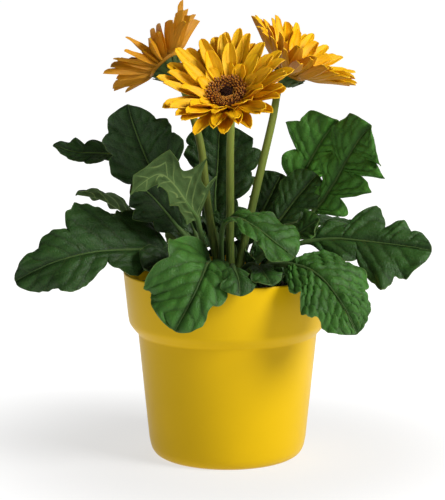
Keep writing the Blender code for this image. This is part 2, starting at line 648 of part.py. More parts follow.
def make_eye(bloom, parts, finish):
    axis = Vector(bloom.axis).normalized()
    turn = tube_axes(axis, bloom.spin)
    mesh = mesh_from("eye_" + bloom.name, bmesh.ops.create_icosphere, subdivisions=2, radius=EYE_RADIUS)
    for vert in mesh.vertices:
        flat = max(vert.co.z, 0) / EYE_RADIUS * EYE_HEIGHT
        vert.co.z = flat + EYE_SEAT
    mesh.transform(Matrix.Translation(mm(bloom.head)) @ turn.to_matrix().to_4x4())
    return new_object("eye_" + bloom.name, mesh, parts, finish)


def margin(lobes, along, sharp):
    """How far a blade reaches from its rib: round or sharp lobes, with notches halfway between them."""
    places = [place for place, _, _ in lobes]
    notches = [0, *((a + b) / 2 for a, b in zip(places, places[1:])), 2 - places[-1]]
    depths = [0, *(notch for _, _, notch in lobes)]
    for i, (place, reach, _) in enumerate(lobes):
        if along <= notches[i + 1]:
            side = i if along < place else i + 1
            t = min(abs(along - place) / abs(notches[side] - place), 1)
            bulge = (1 - sharp) * math.sqrt(1 - t * t) + sharp * (1 - t) ** SHARP_POWER
            return (depths[side] + (reach - depths[side]) * bulge) * MM
    return 0


def leaf_rings(leaf):
    """Rings of eight points along a leaf, from the root of its stalk to near its tip, and the tip."""
    path = rooted_path(leaf.foot, [mm(point) for point in leaf.route])
    start = path.knots[leaf.blade + 3]
    length = path.length - start
    stalk = [0, *spread(ROOT_DEPTH + ROOT_STAND, start, PETIOLE_STATION)]
    blade = spread(start, start + TIP_STATIONS[0] * length, LEAF_STATION)
    distances = [*stalk, *blade, *(start + length * share for share in TIP_STATIONS)]
    first = len(stalk)
    headings = [path.heading(distance) for distance in distances]
    face = Vector(leaf.face)
    faces = [None] * len(distances)
    faces[first] = (face - headings[first] * face.dot(headings[first])).normalized()
    for i in range(first + 1, len(distances)):
        faces[i] = headings[i - 1].rotation_difference(headings[i]) @ faces[i - 1]
    for i in range(first - 1, -1, -1):
        faces[i] = headings[i + 1].rotation_difference(headings[i]) @ faces[i + 1]
    rings = []
    for distance, heading, upper in zip(distances, headings, faces):
        along = (distance - start) / length
        rings.append(leaf_ring(leaf, path.place(distance), heading, upper, along))
    return rings, path.place(path.length)


def leaf_ring(leaf, centre, heading, upper, along):
    """Eight points round the leaf at one station: round on the stalk and flat on the blade."""
    share = max(along, 0)
    upper = Quaternion(heading, math.radians(leaf.twist * share)) @ upper
    right = heading.cross(upper)
    flat = smooth(along, *FLATTENS)
    tip = math.sqrt(max(1 - max((share - TIP_FROM) / (1 - TIP_FROM), 0) ** 2, 0))
    sweep = LEAF_SWEEP * (1 - smooth(along, *SWEEP_FADES))
    shrink = 1 - RIB_THINNING * smooth(along, *RIB_THINS)
    half_round = PETIOLE_RADIUS * (1 - STALK_TAPER * smooth(along, -1, 0))
    thick = half_round + (LEAF_THICKNESS / 2 - half_round) * flat
    rib = half_round + (RIB_THICKNESS * shrink / 2 - half_round) * flat
    edges = []
    mids = []
    for side, lobes, phase in zip((-1, 1), (leaf.left, leaf.right), RIPPLE_PHASES):
        width = half_round + (max(margin(lobes, share, leaf.sharp), half_round) * tip - half_round) * flat
        fold = math.radians(leaf.fold) * flat
        curl = fold - math.radians(leaf.curl) * flat * 2
        inner = right * side * math.cos(fold) + upper * math.sin(fold)
        outer = right * side * math.cos(curl) + upper * math.sin(curl)
        height = leaf.wave * MM * flat * min(width / FULL_RIPPLE_WIDTH, 1)
        ripple = math.sin(2 * math.pi * WAVES_ALONG * share + phase) * height
        forward = heading * sweep * flat
        mid = centre + (inner + forward) * width * MID_COLUMN
        mids.append(mid + upper * ripple * MID_RIPPLE)
        edges.append(mid + (outer + forward) * width * (1 - MID_COLUMN) + upper * ripple)
    bulge = upper * thick * (1 - STALK_SQUASH * (1 - flat))
    return [edges[0], mids[0] + bulge, centre + upper * rib, mids[1] + bulge,
            edges[1], mids[1] - bulge, centre - upper * rib, mids[0] - bulge]


def make_leaf(leaf, parts, finish):
    rings, tip = leaf_rings(leaf)
    mesh = loft("leaf_" + leaf.name, rings, tip, split=True)
    return new_object("leaf_" + leaf.name, mesh, parts, finish)


def shade(obj):
    obj.data.shade_smooth()
    obj.data.set_sharp_from_angle(angle=math.radians(SHARP_ANGLE))


def main():
    clear_scene()
    parts = collection(OBJECT_NAME)
    cutters = collection("cutters")
    yellow_pot = material("pot_yellow", (0.88, 0.55, 0.015), 0.42)
    dark_soil = material("soil", (0.035, 0.022, 0.014), 0.95)
    leaf_green = material("leaf_green", (0.045, 0.14, 0.025), 0.5)
    stem_green = material("stem_green", (0.22, 0.36, 0.07), 0.6)
    ray_yellow = material("ray_yellow", (0.95, 0.55, 0.01), 0.6)
    disc_brown = material("disc_brown", (0.35, 0.12, 0.02), 0.8)
    eye_dark = material("eye_dark", (0.04, 0.015, 0.012), 0.8)
    make_pot(parts, yellow_pot)
    make_soil(parts, dark_soil, cutters)
    for leaf in LEAVES:
        shade(make_leaf(leaf, parts, leaf_green))
    for bloom in BLOOMS:
        shade(make_stem(bloom, parts, stem_green))
        shade(make_rays(bloom, parts, ray_yellow))
        shade(make_disc(bloom, parts, disc_brown))
        shade(make_eye(bloom, parts, eye_dark))


main()
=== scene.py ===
"""A potted gerbera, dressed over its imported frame.

Lengths are metres, +Z is up and the front faces -Y, as in the frame. The routes of the stems and leaf ribs
repeat those of the solids, in millimetres, so that each fine piece lies where its solid does.
"""

import bisect
import math
import random
from collections import namedtuple

import bmesh
import bpy
from bpy.props import FloatProperty, FloatVectorProperty, IntProperty, PointerProperty
from mathutils import Matrix, Quaternion, Vector, noise


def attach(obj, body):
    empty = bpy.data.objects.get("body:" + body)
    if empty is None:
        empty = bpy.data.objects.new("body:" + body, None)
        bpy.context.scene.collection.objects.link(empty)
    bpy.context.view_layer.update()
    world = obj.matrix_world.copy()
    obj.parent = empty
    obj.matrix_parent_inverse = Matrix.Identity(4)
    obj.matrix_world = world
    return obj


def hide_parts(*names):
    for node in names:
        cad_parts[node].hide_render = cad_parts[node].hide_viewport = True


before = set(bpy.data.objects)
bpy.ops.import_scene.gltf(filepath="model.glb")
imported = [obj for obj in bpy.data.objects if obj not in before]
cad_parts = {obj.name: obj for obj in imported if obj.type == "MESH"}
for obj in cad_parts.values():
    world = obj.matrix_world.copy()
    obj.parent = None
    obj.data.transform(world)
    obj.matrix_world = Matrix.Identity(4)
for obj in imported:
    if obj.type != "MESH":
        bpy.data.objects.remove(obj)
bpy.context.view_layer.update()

bl_info = {
    "name": "Potted gerbera",
    "version": (1, 0, 0),
    "blender": (4, 5, 0),
    "location": "3D View > Sidebar > Gerbera",
    "description": "Models a potted gerbera: its pot, soil, leaves, stems and blooms",
    "category": "Add Mesh",
}

MM = 0.001
GAP = 0.0003
MERGE = 0.00001
UP = Vector((0, 0, 1))

# Pot and soil, as the solids have them
POT_HEIGHT = 0.149
RIM_RADIUS = 0.083
BAND_FOOT = (0.0795, 0.113)
SEAM = (0.0715, 0.0985)
BODY_FOOT = (0.0632, 0.014)
BASE_RADIUS = 0.0560
WALL = 0.0026
FLOOR = 0.004
FLOOR_ROUND = 0.006
SOIL_LEVEL = 0.134
SOIL_MOUND = 0.002
ROOT_DEPTH = 0.013
ROOT_STAND = 0.0042

# Stems and blooms
STEM_FOOT_RADIUS = 0.0036
STEM_NECK_RADIUS = 0.0029
STEM_END = -0.010
BLOOM_RADIUS = 0.057
RAY_ROOT = 0.0120
RAY_STEEPEST = 45
RAY_BEND_LEAD = 0.17
RECEPTACLE_RADIUS = 0.0142
RECEPTACLE_TOP = 0.0014
RECEPTACLE_FOOT = -0.0020
NECK_LENGTH = 0.006
CUP_PROFILE = ((0.0031, -0.0150), (0.0062, -0.0128), (0.0096, -0.0092), (0.0119, -0.0052),
               (0.0128, -0.0023))
# A whorl is a number of rays, their rise in degrees, their reach, and the height they root at. The last two
# are of rays that the solids leave out: short inner ones, and some that fill the ring.
WHORLS = ((15, 20, 1.00, -0.0008), (15, 28, 0.97, 0.0000), (10, 38, 0.78, 0.0004), (11, 45, 0.52, 0.0008),
          (13, 24, 0.93, -0.0004))
# How far the rays differ at random, as in the solids
TURN_JITTER = 0.14
RISE_JITTER = 2.5
REACH_RANGE = (0.94, 1.04)
BEND_RANGE = (-8, 6)
SIDE_LEAN = 0.06
# How much of a raised side goes into the rise at the root and into the bend along the ray
RAISED_RISE = 0.4
RAISED_BEND = 0.6
# The rays of each bloom: how wide they are, how strongly they fold along their middle, and how ragged they
# are, from 0 for an even ring
RAY_HABITS = {"front": (1.04, 1.0, 0.15), "left": (0.54, 2.1, 1.4), "right": (0.92, 1.2, 0.35)}

# Leaves
PETIOLE_RADIUS = 0.0023
STALK_TAPER = 0.15
LEAF_SWEEP = 0.30
# Shares of a blade's length between which its stalk flattens, its base widens and its forward sweep fades
BLADE_FROM = -0.06
FLATTENS = (BLADE_FROM, 0.10)
BASE_WIDENS = (-0.04, 0.15)
SWEEP_FADES = (0.45, 0.98)
TIP_FROM = 0.84
WAVES_ALONG = 3.2
RIPPLE_PHASES = {-1: 0.0, 1: 1.9}
FULL_RIPPLE_WIDTH = 0.02
# Where across a blade it turns from its fold to its curl, and how softly
MID_COLUMN = 0.66
TURN_SPAN = 0.34

Bloom = namedtuple("Bloom", "name foot route head axis spin cup lean raised seed")
Leaf = namedtuple("Leaf", "name foot route blade face twist fold curl wave sharp left right")

# A foot is where a stalk stands in the soil: its direction in degrees and its distance from the middle in mm.
BLOOMS = (
    Bloom("front", (306, 5.5), ((2, -4, 165), (2, -7, 205), (2, -12, 246)),
          head=(0, -30, 290), axis=(-0.13, -0.65, 0.75), spin=4, cup=5, lean=(0, 0, -1), raised=-2, seed=11),
    Bloom("left", (146, 7.2), ((-9, 4, 160), (-16, 7, 200), (-21, 13, 245), (-30, 18, 278)),
          head=(-51, 25, 311), axis=(-0.66, 0.26, 0.72), spin=9, cup=9, lean=(0, 0, -1), raised=0, seed=12),
    Bloom("right", (30, 8.0), ((11, 5, 160), (20, 9, 200), (29, 13, 238), (36, 17, 268)),
          head=(51, 23, 307), axis=(0.50, -0.30, 0.82), spin=2, cup=5, lean=(0, -1, 0), raised=26, seed=13),
)

# A lobe is how far along the blade it stands, its reach in mm, and the reach in the notch that follows it.
LEAVES = (
    Leaf("far_left", (188, 25), ((-42, -16, 162), (-61, -22, 169), (-78, -33, 171), (-103, -44, 171),
         (-128, -50, 166), (-147, -48, 158), (-165, -44, 148)),
         blade=0, face=(-0.1, -0.74, 0.68), twist=-4, fold=4, curl=6, wave=2.5, sharp=0.25,
         left=((0.22, 22, 8), (0.62, 28, 23), (0.84, 19, 0)),
         right=((0.15, 34, 26), (0.46, 42, 22), (0.70, 24, 16), (0.88, 14, 0))),
    Leaf("left_mid", (163, 25), ((-46, 6, 160), (-65, 8, 178), (-84, 12, 195), (-102, 14, 205),
         (-121, 14, 209)),
         blade=1, face=(0.35, 0.35, 0.87), twist=0, fold=10, curl=6, wave=2.0, sharp=0.5,
         left=((0.16, 22, 15), (0.46, 24, 13), (0.78, 14, 0)),
         right=((0.16, 20, 14), (0.46, 20, 12), (0.78, 12, 0))),
    Leaf("left_tip", (135, 16.5), ((-24, 18, 171), (-60, 33, 211), (-83, 40, 234), (-103, 42, 238),
         (-124, 42, 239), (-141, 40, 245)),
         blade=2, face=(-0.1, -0.5, 0.85), twist=0, fold=8, curl=4, wave=1.5, sharp=0.4,
         left=((0.12, 9, 7), (0.36, 17, 10), (0.66, 13, 8), (0.88, 8, 0)),
         right=((0.12, 12, 9), (0.40, 13, 8), (0.66, 15, 9), (0.88, 8, 0))),
    Leaf("upper_left", (175, 16.5), ((-27, 4, 168), (-46, 6, 198), (-58, 6, 223), (-68, 3, 247),
         (-75, -3, 268), (-78, -9, 281)),
         blade=1, face=(-0.3, -0.92, 0.2), twist=0, fold=6, curl=8, wave=2.0, sharp=0.1,
         left=((0.12, 24, 20), (0.38, 31, 25), (0.66, 28, 22), (0.88, 20, 0)),
         right=((0.12, 22, 18), (0.40, 33, 26), (0.68, 29, 21), (0.88, 18, 0))),
    Leaf("back_centre", (95, 16.5), ((-8, 22, 171), (-10, 28, 202), (-8, 33, 230), (-7, 34, 250),
         (-6, 32, 263)),
         blade=0, face=(0.0, -0.95, 0.3), twist=0, fold=10, curl=6, wave=2.0, sharp=0.1,
         left=((0.16, 11, 9), (0.40, 20, 17), (0.66, 28, 24), (0.88, 26, 0)),
         right=((0.16, 20, 17), (0.40, 30, 25), (0.66, 35, 27), (0.88, 29, 0))),
    Leaf("star", (231, 25), ((-22, -30, 188), (-31, -42, 207), (-43, -53, 226), (-53, -58, 233),
         (-66, -62, 226), (-74, -62, 218)),
         blade=0, face=(0.15, -0.65, 0.74), twist=0, fold=12, curl=-6, wave=2.5, sharp=0.95,
         left=((0.14, 13, 8), (0.40, 17, 9), (0.66, 12, 7), (0.88, 7, 0)),
         right=((0.16, 34, 18), (0.40, 34, 13), (0.66, 20, 9), (0.88, 10, 0))),
    Leaf("dark_left", (215, 16.5), ((-22, -12, 165), (-36, -16, 182), (-48, -19, 198), (-60, -20, 212),
         (-72, -20, 222)),
         blade=1, face=(-0.1, -0.85, 0.5), twist=0, fold=6, curl=6, wave=2.0, sharp=0.3,
         left=((0.18, 16, 12), (0.50, 24, 17), (0.82, 18, 0)),
         right=((0.18, 16, 12), (0.50, 22, 16), (0.82, 17, 0))),
    Leaf("young_left", (203, 9.5), ((-17, -7, 160), (-25, -7, 178), (-32, -6, 196), (-38, -6, 208)),
         blade=1, face=(-0.2, -0.9, 0.3), twist=0, fold=10, curl=4, wave=1.0, sharp=0.4,
         left=((0.25, 9, 7), (0.62, 12, 0)),
         right=((0.25, 9, 7), (0.62, 12, 0))),
    Leaf("low_left", (208, 25), ((-30, -20, 156), (-40, -30, 161), (-51, -41, 162), (-64, -51, 159)),
         blade=0, face=(-0.2, -0.60, 0.77), twist=0, fold=6, curl=6, wave=1.5, sharp=0.3,
         left=((0.22, 12, 9), (0.62, 17, 0)),
         right=((0.22, 15, 11), (0.62, 19, 0))),
    Leaf("front_left", (252, 25), ((-13, -42, 160), (-15, -60, 166), (-19, -81, 160), (-24, -93, 150),
         (-31, -100, 137), (-40, -103, 121)),
         blade=0, face=(0.05, 0.2, 0.95), twist=0, fold=-4, curl=9, wave=2.0, sharp=0.1,
         left=((0.22, 18, 14), (0.52, 24, 18), (0.80, 17, 0)),
         right=((0.20, 30, 26), (0.50, 43, 37), (0.78, 34, 0))),
    Leaf("front_centre", (277, 25), ((4, -42, 157), (4, -70, 164), (8, -91, 158), (9, -99, 147)),
         blade=1, face=(0.05, -0.35, 0.93), twist=0, fold=-4, curl=8, wave=1.0, sharp=0.4,
         left=((0.25, 11, 7), (0.68, 13, 0)),
         right=((0.25, 12, 8), (0.68, 15, 0))),
    Leaf("low_front", (295, 16.5), ((14, -32, 157), (21, -52, 162), (27, -70, 160), (33, -82, 152)),
         blade=1, face=(0.1, -0.4, 0.9), twist=0, fold=4, curl=6, wave=1.0, sharp=0.4,
         left=((0.25, 11, 8), (0.65, 13, 0)),
         right=((0.25, 11, 8), (0.65, 13, 0))),
    Leaf("inner_right", (255, 16.5), ((-5, -26, 176), (-2, -39, 194), (8, -53, 199), (22, -63, 193),
         (36, -70, 183), (51, -73, 172)),
         blade=1, face=(0.2, -0.60, 0.77), twist=4, fold=4, curl=6, wave=1.5, sharp=0.1,
         left=((0.14, 13, 10), (0.44, 22, 18), (0.76, 25, 0)),
         right=((0.14, 10, 8), (0.46, 15, 12), (0.76, 18, 0))),
    Leaf("lower_right", (305, 25), ((26, -38, 157), (45, -55, 163), (59, -67, 163), (72, -77, 156),
         (84, -86, 142), (93, -91, 127), (98, -92, 116)),
         blade=1, face=(0.25, -0.60, 0.76), twist=0, fold=-6, curl=9, wave=2.0, sharp=0.1,
         left=((0.14, 34, 31), (0.42, 38, 31), (0.72, 26, 0)),
         right=((0.16, 27, 23), (0.46, 32, 26), (0.76, 23, 0))),
    Leaf("right", (332, 25), ((40, -14, 165), (60, -17, 174), (83, -22, 178), (107, -28, 177),
         (131, -34, 175), (158, -40, 172)),
         blade=1, face=(0.0, -0.70, 0.71), twist=4, fold=4, curl=6, wave=2.5, sharp=0.4,
         left=((0.16, 18, 12), (0.42, 33, 14), (0.72, 21, 13), (0.90, 15, 0)),
         right=((0.22, 24, 17), (0.58, 44, 30), (0.84, 28, 0))),
    Leaf("small_right", (335, 16.5), ((26, -11, 160), (46, -18, 173), (58, -23, 184), (71, -28, 194)),
         blade=1, face=(-0.1, -0.6, 0.8), twist=0, fold=10, curl=4, wave=1.5, sharp=0.6,
         left=((0.22, 13, 8), (0.60, 16, 0)),
         right=((0.22, 13, 8), (0.60, 17, 0))),
    Leaf("upper_right_a", (15, 16.5), ((26, 10, 168), (53, 22, 196), (62, 25, 224), (72, 24, 244),
         (80, 20, 257), (87, 14, 267)),
         blade=1, face=(-0.2, -0.90, 0.3), twist=0, fold=8, curl=6, wave=2.5, sharp=0.75,
         left=((0.14, 16, 13), (0.36, 22, 14), (0.60, 33, 22), (0.86, 24, 0)),
         right=((0.16, 12, 10), (0.42, 22, 18), (0.70, 26, 20), (0.90, 22, 0))),
    Leaf("upper_right_b", (0, 25), ((40, 2, 168), (66, 2, 193), (82, 1, 215), (93, -3, 236), (102, -9, 253),
         (111, -17, 266)),
         blade=1, face=(-0.4, -0.75, 0.5), twist=-5, fold=6, curl=8, wave=2.5, sharp=0.7,
         left=((0.16, 14, 12), (0.40, 22, 16), (0.64, 29, 23), (0.86, 25, 0)),
         right=((0.10, 29, 13), (0.38, 36, 18), (0.62, 45, 24), (0.84, 33, 0))),
    Leaf("back_right", (55, 16.5), ((16, 24, 167), (27, 37, 188), (36, 45, 205), (44, 49, 220)),
         blade=1, face=(0.0, -0.80, 0.6), twist=0, fold=8, curl=6, wave=2.0, sharp=0.4,
         left=((0.16, 15, 10), (0.50, 22, 14), (0.82, 16, 0)),
         right=((0.16, 15, 10), (0.50, 22, 14), (0.82, 16, 0))),
    Leaf("side_right", (28, 25), ((40, 22, 163), (62, 38, 178), (84, 54, 182), (106, 66, 172),
         (122, 74, 154)),
         blade=0, face=(0.1, 0.0, 0.99), twist=0, fold=3, curl=8, wave=2.5, sharp=0.3,
         left=((0.16, 19, 14), (0.42, 24, 17), (0.68, 27, 19), (0.88, 20, 0)),
         right=((0.16, 20, 14), (0.42, 30, 20), (0.68, 30, 20), (0.88, 20, 0))),
    Leaf("rear_right", (55, 25), ((22, 38, 162), (34, 62, 180), (46, 86, 184), (58, 106, 174),
         (68, 122, 156)),
         blade=0, face=(0.0, 0.0, 1), twist=0, fold=3, curl=8, wave=2.5, sharp=0.3,
         left=((0.14, 18, 13), (0.40, 27, 19), (0.66, 30, 20), (0.86, 22, 0)),
         right=((0.14, 18, 13), (0.40, 27, 18), (0.66, 26, 18), (0.86, 20, 0))),
    Leaf("rear", (105, 25), ((-9, 42, 162), (-14, 66, 177), (-19, 90, 177), (-23, 110, 163),
         (-25, 123, 145)),
         blade=0, face=(0.0, 0.0, 1), twist=0, fold=2, curl=9, wave=2.0, sharp=0.2,
         left=((0.16, 19, 15), (0.44, 30, 24), (0.74, 31, 0)),
         right=((0.16, 19, 15), (0.44, 29, 24), (0.74, 30, 0))),
    Leaf("rear_left", (138, 25), ((-32, 32, 163), (-50, 50, 180), (-70, 68, 186), (-90, 86, 178),
         (-106, 99, 162)),
         blade=0, face=(0.0, 0.0, 1), twist=0, fold=4, curl=8, wave=2.5, sharp=0.3,
         left=((0.16, 19, 13), (0.42, 29, 19), (0.68, 31, 21), (0.88, 20, 0)),
         right=((0.16, 19, 13), (0.42, 30, 19), (0.68, 32, 21), (0.88, 20, 0))),
)

# What sets a leaf apart from most: its tone from 0 for dark to 1 for bright green, which holds painted light
# as well as the leaf's own green, darker for the shaded leaves at the left and back and brighter for the lit
# ones at the right; the share of the quilting's height, the side veins to a lobe, the distance between the
# ladder veins that join them, how far those cut the blade into puffs, how high the near side of its base
# stands up and how far along it has sunk again, how slim its lobes are, how pointed its end is, and whether
# its pale side is up.
Habit = namedtuple("Habit", "tone quilt lanes ladder puffs flap lobes end pale_up",
                   defaults=(0.3, 1.0, 2, 0.0080, 0.70, (0, 1), 1.3, 0.5, False))
HABITS = {
    "far_left": Habit(0.12),
    "left_mid": Habit(0.1),
    "left_tip": Habit(0.1, end=0.8),
    "upper_left": Habit(0.05),
    "back_centre": Habit(0.05),
    "star": Habit(0.2, lobes=3.0, end=1.1, pale_up=True),
    "dark_left": Habit(0.0),
    "young_left": Habit(0.1),
    "low_left": Habit(0.0),
    "front_left": Habit(0.62, 1.2, ladder=0.013, flap=(0.022, 0.62)),
    "inner_right": Habit(0.50),
    "lower_right": Habit(0.55, 1.7, 3, 0.0066, 0.95, end=0.95),
    "right": Habit(0.2, 1.1),
    "small_right": Habit(0.4),
    "upper_right_a": Habit(1.25, 1.1, lobes=0.85),
    "upper_right_b": Habit(1.1, 1.1, lobes=0.95),
    "back_right": Habit(0.1),
    "side_right": Habit(0.1),
    "rear_right": Habit(0.0),
    "rear": Habit(0.0),
    "rear_left": Habit(0.0),
}


class PotLook(bpy.types.PropertyGroup):
    colour: FloatVectorProperty(name="Colour", description="Colour of the pot", subtype="COLOR", size=3,
                                min=0, max=1, default=(0.70, 0.435, 0.001))
    roughness: FloatProperty(name="Roughness", description="How matt the pot's surface is", subtype="FACTOR",
                             min=0, max=1, default=0.36)
    sides: IntProperty(name="Sides", description="Sides of each turned ring", default=144, min=24, max=256)


class LeafLook(bpy.types.PropertyGroup):
    dark: FloatVectorProperty(name="Dark green", description="Colour of the dark leaves", subtype="COLOR",
                              size=3, min=0, max=1, default=(0.015, 0.042, 0.008))
    bright: FloatVectorProperty(name="Bright green", description="Colour of the bright leaves",
                                subtype="COLOR", size=3, min=0, max=1, default=(0.058, 0.185, 0.022))
    under: FloatVectorProperty(name="Underside", description="Colour of the undersides", subtype="COLOR",
                               size=3, min=0, max=1, default=(0.060, 0.105, 0.030))
    thickness: FloatProperty(name="Thickness", description="Thickness of a blade", subtype="DISTANCE",
                             default=0.0007, min=0.0002, max=0.002)
    quilting: FloatProperty(name="Quilting", description="Height of the puffs between the veins",
                            subtype="DISTANCE", default=0.0023, min=0, max=0.004)
    spacing: FloatProperty(name="Spacing", description="Distance between the rows of a blade's mesh",
                           subtype="DISTANCE", default=0.0013, min=0.0005, max=0.01)


class BloomLook(bpy.types.PropertyGroup):
    ray: FloatVectorProperty(name="Rays", description="Colour of the rays", subtype="COLOR", size=3,
                             min=0, max=1, default=(0.93, 0.52, 0.001))
    # The orange of the ray roots is painted shade, deep in the head between the rays.
    ray_root_shade: FloatVectorProperty(name="Ray roots", description="Colour of the rays at their roots",
                                  subtype="COLOR", size=3, min=0, max=1, default=(0.78, 0.27, 0.004))
    ray_back: FloatVectorProperty(name="Ray backs", description="Colour of the backs of the rays",
                                  subtype="COLOR", size=3, min=0, max=1, default=(0.60, 0.26, 0.006))
    floret: FloatVectorProperty(name="Florets", description="Colour of the disc's florets", subtype="COLOR",
                                size=3, min=0, max=1, default=(0.13, 0.030, 0.005))
    half_width: FloatProperty(name="Half width", description="Half of a ray's width", subtype="DISTANCE",
                              default=0.0056, min=0.002, max=0.010)
    florets: IntProperty(name="Florets", description="Florets round each disc", default=150, min=20, max=400)
    buds: IntProperty(name="Buds", description="Closed buds in the middle of each disc", default=75, min=10,
                      max=200)


class StageLook(bpy.types.PropertyGroup):
    camera_place: FloatVectorProperty(name="Camera", description="Where the camera stands",
                                      subtype="TRANSLATION", size=3, default=(-0.004, -1.5, 0.414))
    camera_target: FloatVectorProperty(name="Target", description="Where the camera looks",
                                       subtype="TRANSLATION", size=3, default=(-0.004, 0, 0.165))
    lens: FloatProperty(name="Lens", description="Focal length in mm", unit="CAMERA", default=137.4, min=20,
                        max=300)
    glow_near: FloatProperty(name="Near glow", description="How much the floor glows by the pot",
                             subtype="FACTOR", default=0.66, min=0, max=1)
    glow_far: FloatProperty(name="Far glow", description="How much the floor glows far off",
                            subtype="FACTOR", default=0.98, min=0, max=1)
    floor: FloatVectorProperty(name="Floor", description="Colour of the floor", subtype="COLOR", size=3,
                               min=0, max=1, default=(0.28, 0.28, 0.28))


def mm(point):
    """A point written in millimetres, as a vector in metres."""
    return Vector(point) * MM


def smooth(value, low, high):
    """A soft step from 0 at low to 1 at high."""
    t = min(max((value - low) / (high - low), 0), 1)
    return t * t * (3 - 2 * t)


def foot_place(foot):
    direction, distance = foot
    turn = math.radians(direction)
    return Vector((math.cos(turn), math.sin(turn), 0)) * distance * MM


def between(marks, distance):
    """The number of the mark after a distance, and the share of the way there from the mark before."""
    i = min(max(bisect.bisect_left(marks, distance), 1), len(marks) - 1)
    return i, (distance - marks[i - 1]) / (marks[i] - marks[i - 1])


class SmoothPath:
    """A smooth curve through points, read by the distance along it."""

    STEPS = 12
    REACH = 0.0015

    def __init__(self, points):
        ends = [2 * points[0] - points[1], *points, 2 * points[-1] - points[-2]]
        self.places = [points[0].copy()]
        self.marks = [0.0]
        self.knots = [0.0]
        for before, start, end, after in zip(ends, ends[1:], ends[2:], ends[3:]):
            for step in range(1, self.STEPS + 1):
                t = step / self.STEPS
                place = 0.5 * (2 * start + (end - before) * t
                               + (2 * before - 5 * start + 4 * end - after) * t ** 2
                               + (3 * start - before - 3 * end + after) * t ** 3)
                self.marks.append(self.marks[-1] + (place - self.places[-1]).length)
                self.places.append(place)
            self.knots.append(self.marks[-1])
        self.length = self.marks[-1]

    def place(self, distance):
        i, share = between(self.marks, distance)
        return self.places[i - 1].lerp(self.places[i], min(max(share, 0), 1))

    def heading(self, distance):
        low = max(distance - self.REACH, 0)
        high = min(distance + self.REACH, self.length)
        return (self.place(high) - self.place(low)).normalized()


def rooted_path(foot, points):
    """A path that starts straight up out of a hole in the soil."""
    base = foot_place(foot)
    start = [base + UP * (SOIL_LEVEL + rise) for rise in (-ROOT_DEPTH, ROOT_STAND, 2 * ROOT_STAND)]
    return SmoothPath([*start, *points])


# Blender tools, as used by hand

def only(*objects):
    """Selects these objects alone, the first one active."""
    bpy.ops.object.select_all(action="DESELECT")
    for obj in objects:
        obj.select_set(True)
    bpy.context.view_layer.objects.active = objects[0]


def joined(objects, name):
    only(*objects)
    if len(objects) > 1:
        bpy.ops.object.join()
    obj = bpy.context.object
    obj.name = name
    obj.data.name = name
    return obj


def apply_modifiers(obj):
    only(obj)
    for modifier in list(obj.modifiers):
        bpy.ops.object.modifier_apply(modifier=modifier.name)


def modified(obj, kind, **settings):
    """Adds a modifier with these settings and applies it."""
    modifier = obj.modifiers.new(kind.title(), kind)
    for key, value in settings.items():
        setattr(modifier, key, value)
    apply_modifiers(obj)
    return obj


def turned(name, profile, sides):
    """A closed solid drawn up through (radius, height) rings, as by extruding and scaling a disc."""
    radius, height = profile[0]
    bpy.ops.object.select_all(action="DESELECT")
    bpy.ops.mesh.primitive_circle_add(vertices=sides, radius=radius, fill_type="NGON",
                                      location=(0, 0, height))
    obj = bpy.context.object
    bpy.ops.object.transform_apply(location=True)
    bpy.ops.object.mode_set(mode="EDIT")
    bpy.ops.mesh.select_all(action="SELECT")
    for (start, low), (end, high) in zip(profile, profile[1:]):
        bpy.ops.mesh.extrude_region_move(TRANSFORM_OT_translate={"value": (0, 0, high - low)})
        grow = end / start
        bpy.ops.transform.resize(value=(grow, grow, 1), center_override=(0, 0, 0))
    bpy.ops.mesh.select_all(action="SELECT")
    bpy.ops.mesh.normals_make_consistent(inside=False)
    bpy.ops.object.mode_set(mode="OBJECT")
    obj.name = name
    return obj


def sheet_of(name, columns, rows):
    """A grid from -1 to 1 across and 0 to 1 along, with the (column, row) of each of its points."""
    bpy.ops.object.select_all(action="DESELECT")
    bpy.ops.mesh.primitive_grid_add(x_subdivisions=columns, y_subdivisions=rows, size=2, calc_uvs=True)
    obj = bpy.context.object
    obj.name = name
    cells = [(round((vert.co.x + 1) / 2 * columns), round((vert.co.y + 1) / 2 * rows))
             for vert in obj.data.vertices]
    for vert in obj.data.vertices:
        vert.co = (vert.co.x, (vert.co.y + 1) / 2, 0)
    return obj, cells


def merged(obj):
    """Merges the points that lie on each other."""
    only(obj)
    bpy.ops.object.mode_set(mode="EDIT")
    bpy.ops.mesh.select_all(action="SELECT")
    bpy.ops.mesh.remove_doubles(threshold=MERGE)
    bpy.ops.object.mode_set(mode="OBJECT")
    return obj


def painted(obj, finishes, index=0):
    """Gives an object these finishes, and all its faces the one at the index."""
    obj.data.materials.clear()
    for finish in finishes:
        obj.data.materials.append(finish)
    for face in obj.data.polygons:
        face.material_index = index
    return obj


def turn_about_z(angle):
    return Quaternion(UP, angle).to_matrix().to_4x4()


def scattered(name, template, matrices):
    """One object of copies of a small mesh, each set by its own matrix. The small mesh is then removed."""
    bm = bmesh.new()
    for matrix in matrices:
        copy = template.data.copy()
        copy.transform(matrix)
        bm.from_mesh(copy)
        bpy.data.meshes.remove(copy)
    bpy.data.objects.remove(template)
    return linked(name, bm)


def linked(name, bm):
    """An object of a bmesh, in the scene."""
    mesh = bpy.data.meshes.new(name)
    bm.to_mesh(mesh)
    bm.free()
    obj = bpy.data.objects.new(name, mesh)
    bpy.context.scene.collection.objects.link(obj)
    return obj


def rounded(obj, angle=40):
    only(obj)
    bpy.ops.object.shade_smooth_by_angle(angle=math.radians(angle))


def dressed(obj, name, slot, *nodes, angle=40):
    """Names a finished piece and binds it to the frame."""
    obj.name = name
    obj.data.name = name
    rounded(obj, angle)
    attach(obj, "root")
    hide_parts(*nodes)
    return obj


